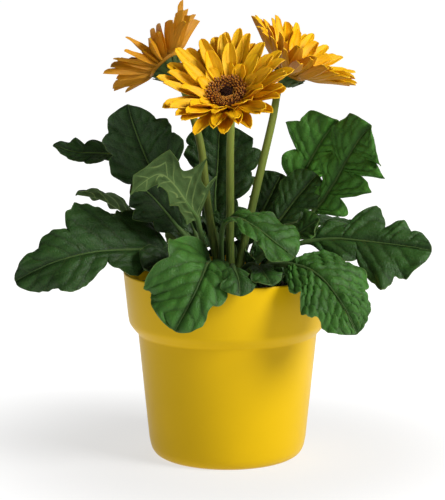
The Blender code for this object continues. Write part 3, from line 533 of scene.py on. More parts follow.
class Finish:
    """A Principled material, with short ways to build its nodes."""

    def __init__(self, name, **values):
        self.material = bpy.data.materials.new(name)
        self.material.use_nodes = True
        self.tree = self.material.node_tree
        self.shader = self.tree.nodes["Principled BSDF"]
        for key, value in values.items():
            self.shader.inputs[key.replace("_", " ")].default_value = value

    def node(self, kind, inputs=None, output=0, **settings):
        made = self.tree.nodes.new("ShaderNode" + kind)
        for key, value in settings.items():
            setattr(made, key, value)
        for key, value in (inputs or {}).items():
            if isinstance(value, bpy.types.NodeSocket):
                self.tree.links.new(value, made.inputs[key])
            else:
                made.inputs[key].default_value = value
        return made.outputs[output]

    def sum(self, operation, a, b=0.0):
        return self.node("Math", {0: a, 1: b}, operation=operation)

    def times(self, a, b):
        return self.sum("MULTIPLY", a, b)

    def step(self, value, low, high):
        """0 at low, 1 at high, soft between them."""
        return self.node("MapRange", {"Value": value, "From Min": low, "From Max": high},
                         interpolation_type="SMOOTHSTEP")

    def fall(self, value, low, high):
        """1 at low, 0 at high, soft between them."""
        return self.sum("SUBTRACT", 1.0, self.step(value, low, high))

    def mix(self, share, a, b):
        return self.node("Mix", {0: share, 6: self.colour(a), 7: self.colour(b)}, output=2, data_type="RGBA")

    @staticmethod
    def colour(value):
        return value if isinstance(value, bpy.types.NodeSocket) else (*value, 1)

    def place(self):
        return self.node("TexCoord", output="Object")

    def noise(self, scale, detail=3, roughness=0.5, vector=None):
        return self.node("TexNoise", {"Vector": vector or self.place(), "Scale": scale, "Detail": detail,
                                      "Roughness": roughness})

    def cells(self, scale):
        """The distance to the nearest edge of a cell."""
        return self.node("TexVoronoi", {"Vector": self.place(), "Scale": scale}, feature="DISTANCE_TO_EDGE")

    def uv(self, axis):
        return self.node("SeparateXYZ", {0: self.node("TexCoord", output="UV")}, output=axis)

    def shape(self, axis):
        """One channel of the piece's own attribute."""
        colour = self.node("Attribute", output="Color", attribute_name="shape")
        return self.node("SeparateColor", {0: colour}, output=axis)

    def paint(self, colour):
        self.tree.links.new(colour, self.shader.inputs["Base Color"])

    def bump(self, height, strength, distance):
        normal = self.node("Bump", {"Height": height, "Strength": strength, "Distance": distance})
        self.tree.links.new(normal, self.shader.inputs["Normal"])


# Finishes

def pot_finish(look):
    made = Finish("pot_satin_glaze", Roughness=look.roughness, Specular_IOR_Level=0.10)
    colour = Vector(look.colour)
    made.paint(made.mix(made.noise(22, 4), colour * 0.94, colour * 1.05))
    made.bump(made.noise(420, 3), 0.10, 0.0004)
    return made.material


def soil_finish():
    made = Finish("soil_crumb", Roughness=0.95)
    grain = made.noise(260, 6, 0.7)
    made.paint(made.mix(made.step(grain, 0.35, 0.7), (0.010, 0.006, 0.004), (0.055, 0.032, 0.018)))
    made.bump(grain, 0.8, 0.002)
    return made.material


def leaf_finish(name, look, tone, under):
    """Green, with the quilted hollows darkened as painted shade on the upper side and paler on the underside,
    paler main veins and fine veinlets.

    The UV map holds the number of the side vein and the distance from the rib in cm. The attribute holds the
    share along, the share across and the puff.
    """
    made = Finish(name, Roughness=0.7 if under else 0.50, Specular_IOR_Level=0.08 if under else 0.20,
                  Subsurface_Weight=0.06, Subsurface_Scale=0.001)
    # The tone mixes painted light into the leaf's own green: darker for the shaded leaves, brighter for the
    # lit ones.
    base = Vector(look.dark).lerp(Vector(look.bright), tone)
    pale = Vector((0.10, 0.18, 0.040))
    if under:
        base = Vector(look.under) * (0.75 + 0.3 * tone)
        pale = Vector((0.14, 0.20, 0.06))
    colour = made.mix(made.step(made.noise(38, 4, 0.6), 0.30, 0.72), base * 0.72, base * 1.28)
    # Painted shade: the upper side darkens in the hollows between the puffs. The underside is paler there,
    # where its veins stand out.
    hollow = made.times(made.fall(made.shape(2), 0.0, 0.55), 0.4 if under else 0.75)
    colour = made.mix(hollow, colour, base * (1.5 if under else 0.34))
    # The side veins, where their number is whole
    number = made.sum("FRACT", made.sum("ADD", made.uv(0), 0.5))
    nearest = made.sum("ABSOLUTE", made.sum("SUBTRACT", number, 0.5))
    across = made.shape(1)
    vein = made.times(made.fall(nearest, 0.02, 0.07), made.fall(across, 0.35, 0.95))
    # The rib, which narrows towards the tip
    rib_width = made.times(made.sum("SUBTRACT", 1.15, made.shape(0)), 0.11)
    rib = made.fall(made.sum("DIVIDE", made.uv(1), rib_width), 0.55, 1.0)
    line = made.sum("MAXIMUM", made.times(vein, 0.9 if under else 0.12), made.times(rib, 0.8))
    colour = made.mix(line, colour, pale)
    net = made.cells(430)
    colour = made.mix(made.times(made.fall(net, 0.0, 0.09), 0.16), colour, pale * 0.8)
    colour = made.mix(made.times(made.step(across, 0.965, 1.0), 0.5), colour, (0.13, 0.21, 0.05))
    made.paint(colour)
    relief = made.sum("ADD", made.step(net, 0.0, 0.22), made.times(made.noise(520, 3), 0.5))
    made.bump(relief, -0.4 if under else 0.35, 0.0006)
    return made.material


def stalk_finish(name, low, high, from_height, to_height, sheen=0.05):
    """Green from a darker colour low down to a paler one higher up, with streaks along the stalk. The darker
    colour low down is painted shade, where the stalk stands among the leaves or under a head.
    """
    made = Finish(name, Roughness=0.6, Specular_IOR_Level=0.15, Sheen_Weight=sheen, Sheen_Roughness=0.4,
                  Subsurface_Weight=0.1, Subsurface_Scale=0.002)
    height = made.node("SeparateXYZ", {0: made.place()}, output=2)
    colour = made.mix(made.step(height, from_height, to_height), low, high)
    stretched = made.node("Mapping", {"Vector": made.place(), "Scale": (1.0, 1.0, 0.08)})
    streak = made.noise(900, 3, 0.6, stretched)
    made.paint(made.mix(made.times(made.step(streak, 0.35, 0.75), 0.35), colour, Vector(high) * 1.25))
    made.bump(streak, 0.35, 0.0005)
    return made.material


def ray_finish(name, tip, root, streaks, streaking):
    """Streaked along the ray, and orange at the root. The root's orange is painted shade deep between the
    rays, and the streaks are partly the ray's own fine lines, partly painted shade along its folds. The UV
    map runs across and along it.
    """
    made = Finish(name, Roughness=0.55, Specular_IOR_Level=0.25, Subsurface_Weight=0.15,
                  Subsurface_Scale=0.0018, Subsurface_Radius=(1.0, 0.5, 0.1))
    colour = made.mix(made.step(made.uv(1), 0.0, 0.42), root, tip)
    across = made.node("TexCoord", output="UV")
    stretched = made.node("Mapping", {"Vector": across, "Scale": (14.0, 1.2, 1.0)})
    streak = made.noise(2.2, 3, 0.6, stretched)
    # The streaks are partly the ray's own fine lines, partly painted shade along its folds.
    made.paint(made.mix(made.times(made.step(streak, 0.42, 0.72), streaking), colour, streaks))
    made.bump(streak, 0.30, 0.0005)
    return made.material


def floret_finish(look):
    """Brown, with golden mouths."""
    made = Finish("floret_brown", Roughness=0.6, Subsurface_Weight=0.1, Subsurface_Scale=0.001)
    made.paint(made.mix(made.step(made.shape(0), 0.6, 1.0), look.floret, (0.62, 0.25, 0.02)))
    made.bump(made.noise(1500, 2), 0.2, 0.0003)
    return made.material


def bud_finish():
    """Nearly black, with brown tips."""
    made = Finish("bud_dark", Roughness=0.85, Specular_IOR_Level=0.1)
    made.paint(made.mix(made.step(made.shape(0), 0.86, 1.0), (0.008, 0.003, 0.002), (0.10, 0.035, 0.018)))
    made.bump(made.noise(1500, 2), 0.2, 0.0003)
    return made.material


# Pot and soil

def smooth_rings(points, count):
    """Rings along a smooth curve through (radius, height) points."""
    path = SmoothPath([Vector((radius, 0, height)) for radius, height in points])
    places = [path.place(path.length * i / count) for i in range(count + 1)]
    return [(place.x, place.z) for place in places]


def arc(centre, radius, start, end, steps):
    turns = [math.radians(start + (end - start) * step / steps) for step in range(steps + 1)]
    return [(centre[0] + radius * math.cos(turn), centre[1] + radius * math.sin(turn)) for turn in turns]


def inner_wall(inset):
    """The pot's inner outline from its floor up to under the rim, moved in by an inset."""
    gap = WALL + inset
    floor = FLOOR + inset
    slope = (SEAM[0] - BODY_FOOT[0]) / (SEAM[1] - BODY_FOOT[1])
    corner_radius = BODY_FOOT[0] - gap - slope * (BODY_FOOT[1] - floor)
    corner = (corner_radius - FLOOR_ROUND, floor + FLOOR_ROUND)
    return [*arc(corner, FLOOR_ROUND, -90, 0, 8), (SEAM[0] - gap, SEAM[1]),
            (BAND_FOOT[0] - gap, BAND_FOOT[1])]


# The curves of the pot's foot and of the underside of its rim band, as (radius, height)
FOOT_CURVE = ((BASE_RADIUS, 0), (BODY_FOOT[0] - 0.0042, 0.0020), (BODY_FOOT[0] - 0.0016, 0.0065), BODY_FOOT)
BAND_CURVE = (SEAM, (SEAM[0] + 0.0006, SEAM[1] + 0.0012), (SEAM[0] + 0.0032, SEAM[1] + 0.0040),
              (BAND_FOOT[0] - 0.0012, BAND_FOOT[1] - 0.0055), BAND_FOOT)
SEAM_DROP = 0.0003


def make_pot(look):
    lip = WALL / 2
    seam = (SEAM[0], SEAM[1] - SEAM_DROP)
    rim = arc((RIM_RADIUS - lip, POT_HEIGHT - lip), lip, 0, 180, 12)
    profile = [*smooth_rings(FOOT_CURVE, 12), seam, *smooth_rings(BAND_CURVE, 16), *rim,
               *reversed(inner_wall(0))]
    return turned("pot", profile, look.sides)


class GERBERA_OT_pot(bpy.types.Operator):
    """Turn the pot with its deep rim band"""
    bl_idname = "gerbera.pot"
    bl_label = "Pot"

    def execute(self, context):
        look = context.scene.gerbera_pot
        pot = painted(make_pot(look), [pot_finish(look)])
        dressed(pot, "pot_glazed", "pot_yellow", "pot", angle=30)
        return {"FINISHED"}


# Lumps of the soil: how wide and how high they are
LUMPS = ((0.007, 0.0011), (0.0025, 0.0005))
SOIL_RINGS = 26
# How far the soil's edge reaches past the last ring of the wall, and the share of it that is strewn
SOIL_LAP = 0.0018
STREWN = 0.97
CRUMBS = 700
CRUMB_SIZES = (0.0005, 0.0016)


def soil_height(radius, edge):
    """The soil lies highest in the middle of the pot."""
    return SOIL_LEVEL + SOIL_MOUND * (1 - (radius / edge) ** 2)


def make_soil():
    """The bed that fills the pot, and the radius of its edge."""
    wall = inner_wall(GAP)
    edge = wall[-1][0] + SOIL_LAP
    lanes = [edge * (1 - i / SOIL_RINGS) for i in range(SOIL_RINGS)]
    bed = turned("soil", [*wall, *((radius, soil_height(radius, edge)) for radius in lanes)], 96)
    for vert in bed.data.vertices:
        if vert.co.z > SOIL_LEVEL - MM:
            vert.co.z += sum(noise.noise(vert.co / width) * height for width, height in LUMPS)
    return bed, edge


def make_crumbs(edge):
    draw = random.Random(5)
    bpy.ops.object.select_all(action="DESELECT")
    bpy.ops.mesh.primitive_ico_sphere_add(subdivisions=1, radius=1)
    crumb = bpy.context.object
    for vert in crumb.data.vertices:
        vert.co *= draw.uniform(0.7, 1.25)
    places = []
    for _ in range(CRUMBS):
        reach = edge * STREWN * math.sqrt(draw.random())
        turn = draw.uniform(0, 2 * math.pi)
        size = draw.uniform(*CRUMB_SIZES)
        spot = (reach * math.cos(turn), reach * math.sin(turn), soil_height(reach, edge) + size * 0.2)
        roll = Quaternion([draw.gauss(0, 1) for _ in range(3)], draw.uniform(0, 6)).to_matrix()
        squat = Matrix.Diagonal((size, size, size * draw.uniform(0.5, 0.9), 1))
        places.append(Matrix.Translation(spot) @ roll.to_4x4() @ squat)
    return scattered("crumbs", crumb, places)


class GERBERA_OT_soil(bpy.types.Operator):
    """Fill the pot with lumpy soil and strew crumbs on it"""
    bl_idname = "gerbera.soil"
    bl_label = "Soil"

    def execute(self, context):
        bed, edge = make_soil()
        piece = painted(joined([bed, make_crumbs(edge)], "soil_bed"), [soil_finish()])
        dressed(piece, "soil_bed", "soil", "soil", angle=50)
        return {"FINISHED"}


# Leaves

def lobe_reach(lobes, along, sharp, power):
    """How far a blade reaches from its rib: round or sharp lobes, with notches halfway between them."""
    places = [place for place, _, _ in lobes]
    notches = [0, *((a + b) / 2 for a, b in zip(places, places[1:])), 2 - places[-1]]
    depths = [0, *(notch for _, _, notch in lobes)]
    for i, (place, reach, _) in enumerate(lobes):
        if along <= notches[i + 1]:
            side = i if along < place else i + 1
            t = min(abs(along - place) / abs(notches[side] - place), 1)
            bulge = (1 - sharp) * math.sqrt(1 - t * t) + sharp * (1 - t) ** power
            return (depths[side] + (reach - depths[side]) * bulge) * MM
    return 0


def vein_number(lobes, along):
    """Whole numbers on the side veins that run to the lobes, and halves between them."""
    places = [place for place, _, _ in lobes]
    knots = [2 * places[0] - places[1], *places, 2 * places[-1] - places[-2]]
    for i, (low, high) in enumerate(zip(knots, knots[1:])):
        if along <= high or i == len(knots) - 2:
            return i - 1 + (along - low) / (high - low)


def habit_of(leaf):
    return HABITS.get(leaf.name, Habit())


class Blade:
    """The fine mesh of one leaf's blade, and the line of its rib."""

    COLUMNS = 36
    SAMPLES = 700
    # Columns crowd a little towards the margin
    CROWDING = 0.9
    # How far the side veins run forward, as a share of the blade's half width
    SLANT = 0.55
    # The teeth of the margin, as a share of its width, and the distance that each takes
    TEETH = 0.065
    TOOTH_LENGTH = 0.0055
    # The frill along the margin and the slow wander of the whole blade: height and length
    FRILL = 0.0011
    FRILL_LENGTH = 0.017
    WANDER = 0.0009
    WANDER_LENGTH = 0.018
    # Blades that are slimmer than this have flatter quilting
    FULL_QUILT_WIDTH = 0.025
    # With its pale side up, a blade shows hollows in the place of puffs
    HOLLOW = -0.8

    def __init__(self, leaf, look):
        self.leaf = leaf
        self.look = look
        self.habit = habit_of(leaf)
        self.lobes = {-1: leaf.left, 1: leaf.right}
        self.path = rooted_path(leaf.foot, [mm(point) for point in leaf.route])
        self.start = self.path.knots[leaf.blade + 3]
        self.length = self.path.length - self.start
        self.seed = sum(leaf.foot) + leaf.route[-1][2]
        self.widest = max(reach for _, reach, _ in (*leaf.left, *leaf.right)) * MM
        self.stations = self.rows()
        self.frames = self.carried()

    def half_width(self, side, along):
        share = max(along, 0)
        flat = smooth(along, *FLATTENS)
        tip = max(1 - max((share - TIP_FROM) / (1 - TIP_FROM), 0) ** 2, 0) ** self.habit.end
        slim = PETIOLE_RADIUS * 0.85
        reach = lobe_reach(self.lobes[side], share, self.leaf.sharp, self.habit.lobes)
        reach = max(reach, slim) * tip
        teeth = noise.noise(Vector((share * self.length / self.TOOTH_LENGTH, side * 5, self.seed)))
        width = slim + (reach - slim) * flat * smooth(share, *BASE_WIDENS)
        return width * (1 + self.TEETH * teeth * flat)

    def rows(self):
        """Shares of the blade, closer together where its margin runs in or out."""
        fine = [BLADE_FROM + (1 - BLADE_FROM) * i / self.SAMPLES for i in range(self.SAMPLES + 1)]
        widths = [(self.half_width(-1, along), self.half_width(1, along)) for along in fine]
        travelled = [0.0]
        for i in range(1, len(fine)):
            jump = max(abs(a - b) for a, b in zip(widths[i], widths[i - 1]))
            step = (fine[i] - fine[i - 1]) * self.length
            travelled.append(travelled[-1] + math.hypot(step, 0.6 * jump))
        count = round(travelled[-1] / self.look.spacing)
        picked = []
        for i in range(count + 1):
            k, part = between(travelled, travelled[-1] * i / count)
            picked.append(fine[k - 1] + (fine[k] - fine[k - 1]) * part)
        return picked

    def carried(self):
        """The place, heading and upper side of the rib at each station, carried along without a twist."""
        distances = [self.start + self.length * along for along in self.stations]
        headings = [self.path.heading(distance) for distance in distances]
        first = next(i for i, along in enumerate(self.stations) if along >= 0)
        face = Vector(self.leaf.face)
        uppers = [None] * len(distances)
        uppers[first] = (face - headings[first] * face.dot(headings[first])).normalized()
        for i in range(first + 1, len(distances)):
            uppers[i] = headings[i - 1].rotation_difference(headings[i]) @ uppers[i - 1]
        for i in range(first - 1, -1, -1):
            uppers[i] = headings[i + 1].rotation_difference(headings[i]) @ uppers[i + 1]
        frames = []
        for distance, heading, upper, along in zip(distances, headings, uppers, self.stations):
            twist = Quaternion(heading, math.radians(self.leaf.twist * max(along, 0)))
            frames.append((self.path.place(distance), heading, twist @ upper))
        return frames

    def crossing(self, row, side):
        """Points from the rib out to one margin, with their vein number, share across and puff."""
        leaf = self.leaf
        along = self.stations[row]
        place, heading, upper = self.frames[row]
        share = max(along, 0)
        flat = smooth(along, *FLATTENS)
        width = self.half_width(side, along)
        outward = heading.cross(upper) * side
        sweep = LEAF_SWEEP * (1 - smooth(along, *SWEEP_FADES)) * flat
        fold = math.radians(leaf.fold) * flat
        curl = fold - math.radians(leaf.curl) * flat * 2
        phase = RIPPLE_PHASES[side]
        full = min(width / FULL_RIPPLE_WIDTH, 1)
        ripple = math.sin(2 * math.pi * WAVES_ALONG * share + phase) * leaf.wave * MM * flat * full
        frill = math.sin(2 * math.pi * share * self.length / self.FRILL_LENGTH + 2 * phase + self.seed)
        frill = frill * self.FRILL * flat
        quilt = self.look.quilting * self.habit.quilt * flat * min(self.widest / self.FULL_QUILT_WIDTH, 1)
        quilt *= self.HOLLOW if self.habit.pale_up else 1.0
        height, sunk_by = self.habit.flap
        flap = height * (1 - smooth(share, sunk_by * 0.35, sunk_by)) * flat * (side > 0)
        half = self.COLUMNS // 2
        marks = [(i / half) ** self.CROWDING for i in range(half + 1)]
        points = []
        for before, s in zip((0, *marks), marks):
            angle = fold + (curl - fold) * smooth(s, MID_COLUMN - TURN_SPAN, MID_COLUMN + TURN_SPAN)
            across = outward * math.cos(angle) + upper * math.sin(angle) + heading * sweep
            place = place + across * width * (s - before)
            slant = self.SLANT * (1 - s ** 1.2) * min(self.widest, width * 1.6) / self.length
            number = self.habit.lanes * vein_number(self.lobes[side], share + slant)
            puff, lift = self.relief(number, s, width, side)
            wavy = upper * (ripple * s ** 1.7 + frill * s ** 3 + flap * s ** 1.5)
            spot = (share * self.length / self.WANDER_LENGTH, s * width / self.WANDER_LENGTH * side,
                    self.seed)
            wander = upper * noise.noise(Vector(spot)) * self.WANDER * flat * s
            points.append((place + wavy + wander + upper * quilt * lift, number, s, puff))
        return points

    def relief(self, number, s, width, side):
        """Rounded puffs between the side veins and the ladder veins that join them, and a sunk rib."""
        cells = self.habit.puffs
        out = s * width
        between_veins = abs(math.sin(math.pi * number))
        ladder = abs(math.sin(math.pi * (out / self.habit.ladder) + 1.9 * math.floor(number) + side))
        swell = 0.85 + 0.45 * noise.noise(Vector((number * 0.8, out / 0.011, self.seed)))
        puff = between_veins ** 0.6 * (1 - cells + cells * ladder ** 0.65) * swell
        rim = 1 - smooth(s, 0.80, 1.0)
        rib = smooth(out, 0.0004, 0.0042)
        puff *= rib * min(width / 0.012, 1)
        return min(max(puff, 0), 1), puff * (0.35 + 0.65 * rim) - 0.55 * (1 - rib)

    def mesh(self):
        """The blade as a sheet. Its UV map and attribute are as its finish reads them."""
        rows = len(self.stations) - 1
        half = self.COLUMNS // 2
        obj, cells = sheet_of("blade", self.COLUMNS, rows)
        points = {side: [self.crossing(row, side) for row in range(rows + 1)] for side in (-1, 1)}
        widths = {side: [self.half_width(side, along) for along in self.stations] for side in (-1, 1)}
        mesh = obj.data
        shape = mesh.attributes.new("shape", "FLOAT_COLOR", "POINT")
        for vert, (column, row) in zip(mesh.vertices, cells):
            place, _, s, puff = points[-1 if column < half else 1][row][abs(column - half)]
            vert.co = place
            shape.data[vert.index].color = (max(self.stations[row], 0), s, puff, 1)
        veins = mesh.uv_layers[0]
        for face in mesh.polygons:
            middle = sum(cells[index][0] for index in face.vertices) / len(face.vertices)
            side = -1 if middle < half else 1
            for loop in face.loop_indices:
                column, row = cells[mesh.loops[loop].vertex_index]
                _, number, s, _ = points[side][row][abs(column - half)]
                veins.data[loop].uv = (number, s * widths[side][row] * 100)
        return obj


def tube(name, places, radii, resolution=3):
    """A closed tube through places, with its own radius at each."""
    bpy.ops.object.select_all(action="DESELECT")
    curve = bpy.data.curves.new(name, "CURVE")
    curve.dimensions = "3D"
    curve.bevel_depth = 1
    curve.bevel_resolution = resolution
    curve.use_fill_caps = True
    spline = curve.splines.new("POLY")
    spline.points.add(len(places) - 1)
    for point, place, radius in zip(spline.points, places, radii):
        point.co = (*place, 1)
        point.radius = radius
    obj = bpy.data.objects.new(name, curve)
    bpy.context.scene.collection.objects.link(obj)
    only(obj)
    bpy.ops.object.convert(target="MESH")
    return merged(bpy.context.object)


def make_leaf(leaf, look, finishes):
    """A blade on its stalk. The finishes are those of its upper side, its underside and its stalk."""
    blade = Blade(leaf, look)
    sheet = painted(merged(blade.mesh()), finishes)
    modified(sheet, "SOLIDIFY", thickness=look.thickness, offset=0, material_offset=1,
             use_quality_normals=True)
    stalk = painted(tube("stalk", *stalk_line(blade)), finishes, 2)
    return joined([sheet, stalk], "leaf")


RIB_TO = 0.93
STALK_STEP = 0.005


def stalk_line(blade):
    """The leaf stalk, which runs on under the blade as its rib and thins out towards the tip."""
    places = []
    radii = []
    steps = max(4, round(blade.start / STALK_STEP))
    for i in range(steps):
        distance = blade.start * i / steps
        along = (distance - blade.start) / blade.length
        places.append(blade.path.place(distance))
        radii.append(PETIOLE_RADIUS * (1 - STALK_TAPER * smooth(along, -1, 0)))
    for along, (place, _, upper) in zip(blade.stations[::3], blade.frames[::3]):
        if 0 <= along <= RIB_TO:
            radius = 0.0011 * (1 - smooth(along, -0.05, 0.45)) + 0.0009 * (1 - along) + 0.0003
            depth = -0.5 if blade.habit.pale_up else 1
            places.append(place - upper * radius * 0.75 * smooth(along, 0.0, 0.12) * depth)
            radii.append(radius)
    return places, radii


# Young leaves of the crown: direction in degrees, height above the soil, reach outwards and half width in mm
YOUNG_LEAVES = ((80, 62, 14, 17), (118, 48, 22, 16), (50, 50, 20, 16), (150, 42, 26, 14), (20, 40, 28, 14),
                (185, 34, 20, 13), (345, 34, 18, 13), (100, 30, 12, 13), (65, 34, 10, 13), (320, 26, 12, 12),
                (338, 22, 44, 15), (322, 16, 38, 14), (8, 90, 58, 20))
YOUNG_FOOT = 15
YOUNG_START = 14


def young_leaf(draw, name, direction, rise, reach, broad):
    """A short leaf of the crown, on its way up and out between the stalks."""
    turn = math.radians(direction)
    out = Vector((math.cos(turn), math.sin(turn), 0))
    foot = (direction, YOUNG_FOOT)
    base = foot_place(foot) / MM
    level = SOIL_LEVEL / MM + YOUNG_START
    side = out.cross(UP) * draw.uniform(-6, 6)
    route = []
    for t in (0.12, 0.4, 0.7, 1.0):
        height = level + (rise - YOUNG_START) * t * (1.25 - 0.25 * t)
        route.append(tuple(base + out * reach * t + side * t * t + UP * height))
    lobes = ((0.20, broad * 0.7, broad * 0.55), (0.50, broad, broad * 0.75), (0.80, broad * 0.85, 0))
    return Leaf(name, foot, tuple(route), blade=1, face=(-0.3 * out.x, -0.85, 0.45),
                twist=draw.uniform(-10, 10), fold=10, curl=6, wave=1.5, sharp=0.4, left=lobes, right=lobes)


class GERBERA_OT_crown(bpy.types.Operator):
    """Fill the crown between the stalks with young leaves"""
    bl_idname = "gerbera.crown"
    bl_label = "Young leaves"

    def execute(self, context):
        look = context.scene.gerbera_leaf
        # Darker low in the crown: painted shade.
        stalk = stalk_finish("young_petiole", (0.020, 0.040, 0.008), (0.05, 0.09, 0.02), 0.13, 0.20,
                             sheen=0.0)
        top = leaf_finish("young_top", look, 0.15, False)
        under = leaf_finish("young_under", look, 0.0, True)
        draw = random.Random(8)
        leaves = [young_leaf(draw, "young_" + str(i), *row) for i, row in enumerate(YOUNG_LEAVES)]
        piece = joined([make_leaf(leaf, look, (top, under, stalk)) for leaf in leaves], "crown_young")
        rounded(piece, 60)
        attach(piece, "root")
        return {"FINISHED"}


class GERBERA_OT_leaves(bpy.types.Operator):
    """Grow the quilted, lobed leaves on their stalks"""
    bl_idname = "gerbera.leaves"
    bl_label = "Leaves"

    def execute(self, context):
        look = context.scene.gerbera_leaf
        # Darker low in the crown: painted shade under the leaves.
        stalk = stalk_finish("petiole_green", (0.030, 0.060, 0.012), (0.075, 0.14, 0.032), 0.13, 0.22,
                             sheen=0.08)
        for leaf in LEAVES:
            habit = habit_of(leaf)
            top = leaf_finish("leaf_top_" + leaf.name, look, habit.tone, habit.pale_up)
            under = leaf_finish("leaf_under_" + leaf.name, look, habit.tone, not habit.pale_up)
            piece = make_leaf(leaf, look, (top, under, stalk))
            dressed(piece, "blade_" + leaf.name, "leaf_green", "leaf_" + leaf.name, angle=60)
        return {"FINISHED"}


# Stems and blooms

def bloom_turn(bloom):
    """A turn that takes +Z to the bloom's axis."""
    axis = Vector(bloom.axis).normalized()
    return UP.rotation_difference(axis) @ Quaternion(UP, math.radians(bloom.spin))


def head_matrix(bloom):
    return Matrix.Translation(mm(bloom.head)) @ bloom_turn(bloom).to_matrix().to_4x4()


def bract_template():
    """One pointed bract, flat, from its root at the origin along +X."""
    obj, _ = sheet_of("bract", 4, 7)
    for vert in obj.data.vertices:
        across, along = vert.co.x, vert.co.y
        width = (0.75 + 0.25 * math.sin(math.pi * along)) * math.sqrt(max(1 - along ** 2.4, 0))
        vert.co = (along, across * width, 0.25 * (1 - across ** 2) * (1 - along * 0.6))
    return obj


# Rows of bracts: how many, root and tip as (radius, height) on the cup, half width
BRACT_ROWS = ((13, (0.0084, -0.0108), (0.0142, -0.0024), 0.0023),
              (13, (0.0062, -0.0126), (0.0116, -0.0058), 0.0021),
              (10, (0.0040, -0.0142), (0.0090, -0.0098), 0.0018))
BRACT_BULGE = 0.0021
BRACT_LIFT = 0.0002
BRACT_THICKNESS = 0.0005
STEM_STEPS = 70


def make_stalk(bloom):
    axis = Vector(bloom.axis).normalized()
    head = mm(bloom.head)
    neck = head + axis * (CUP_PROFILE[0][1] - NECK_LENGTH)
    path = rooted_path(bloom.foot, [*(mm(point) for point in bloom.route), neck, head + axis * STEM_END])
    shares = [i / STEM_STEPS for i in range(STEM_STEPS + 1)]
    radii = [STEM_FOOT_RADIUS + (STEM_NECK_RADIUS - STEM_FOOT_RADIUS) * share for share in shares]
    return tube("stalk", [path.place(path.length * share) for share in shares], radii, resolution=6)


def make_bracts(bloom):
    template = bract_template()
    draw = random.Random(bloom.seed + 50)
    places = []
    for row, (count, root, tip, half_width) in enumerate(BRACT_ROWS):
        run = Vector((tip[0] - root[0], 0, tip[1] - root[1]))
        along = run.normalized()
        out = Vector((along.z, 0, -along.x))
        spot = Matrix.Translation(Vector((root[0], 0, root[1])) + out * BRACT_LIFT)
        for i in range(count):
            turn = turn_about_z(2 * math.pi * (i + 0.5 * row + draw.uniform(-0.1, 0.1)) / count)
            fit = Matrix((along * run.length * draw.uniform(0.95, 1.06), Vector((0, half_width, 0)),
                          out * BRACT_BULGE))
            places.append(head_matrix(bloom) @ turn @ spot @ fit.transposed().to_4x4())
    return modified(scattered("bracts", template, places), "SOLIDIFY", thickness=BRACT_THICKNESS, offset=0)


def make_stem(bloom, finishes):
    """A stem with its cup. The finishes are those of the stem and of the cup."""
    stalk = make_stalk(bloom)
    cup = turned("cup", smooth_rings([(STEM_NECK_RADIUS, CUP_PROFILE[0][1]), *CUP_PROFILE[1:]], 14), 48)
    cup.data.transform(head_matrix(bloom))
    bracts = make_bracts(bloom)
    parts = [painted(obj, finishes, index) for obj, index in ((stalk, 0), (cup, 1), (bracts, 1))]
    return joined(parts, "stem")


class GERBERA_OT_stems(bpy.types.Operator):
    """Raise the flower stems with their cups of bracts"""
    bl_idname = "gerbera.stems"
    bl_label = "Stems"

    def execute(self, context):
        # Darker lower down, on the cup under its head and on the stem among the leaves: painted shade.
        cup = stalk_finish("bract_green", (0.028, 0.055, 0.012), (0.050, 0.085, 0.018), 0.24, 0.32,
                           sheen=0.1)
        green = stalk_finish("stem_downy", (0.045, 0.080, 0.012), (0.165, 0.205, 0.032), 0.16, 0.27)
        for bloom in BLOOMS:
            piece = make_stem(bloom, (green, cup))
            dressed(piece, "stalk_" + bloom.name, "stem_green", "stem_" + bloom.name, angle=50)
        return {"FINISHED"}


def ray_width(along):
    """Half width of a ray as a share: a slim root, broadest at two thirds, and a blunt tip."""
    swell = 0.34 + 0.66 * smooth(along, -0.08, 0.60)
    return swell * (1 - 0.42 * smooth(along, 0.62, 1.04))


def ray_template():
    """A flat ray with a blunt tip of three small teeth; its two grooves along it are pressed in when it is
    bent.
    """
    obj, _ = sheet_of("ray", 8, 20)
    for vert in obj.data.vertices:
        across, along = vert.co.x, vert.co.y
        blunt = 0.125 * (1 - math.sqrt(max(1 - 0.97 * across ** 2, 0)))
        point = blunt + 0.008 * (1 - math.cos(3 * math.pi * across))
        vert.co = (across, along * (1 - point * along ** 5), 0)
    return obj


RAY_STEPS = 40
RAY_CHANNEL = 0.0011
RAY_GROOVE = 0.00030
RAY_THICKNESS = 0.0006


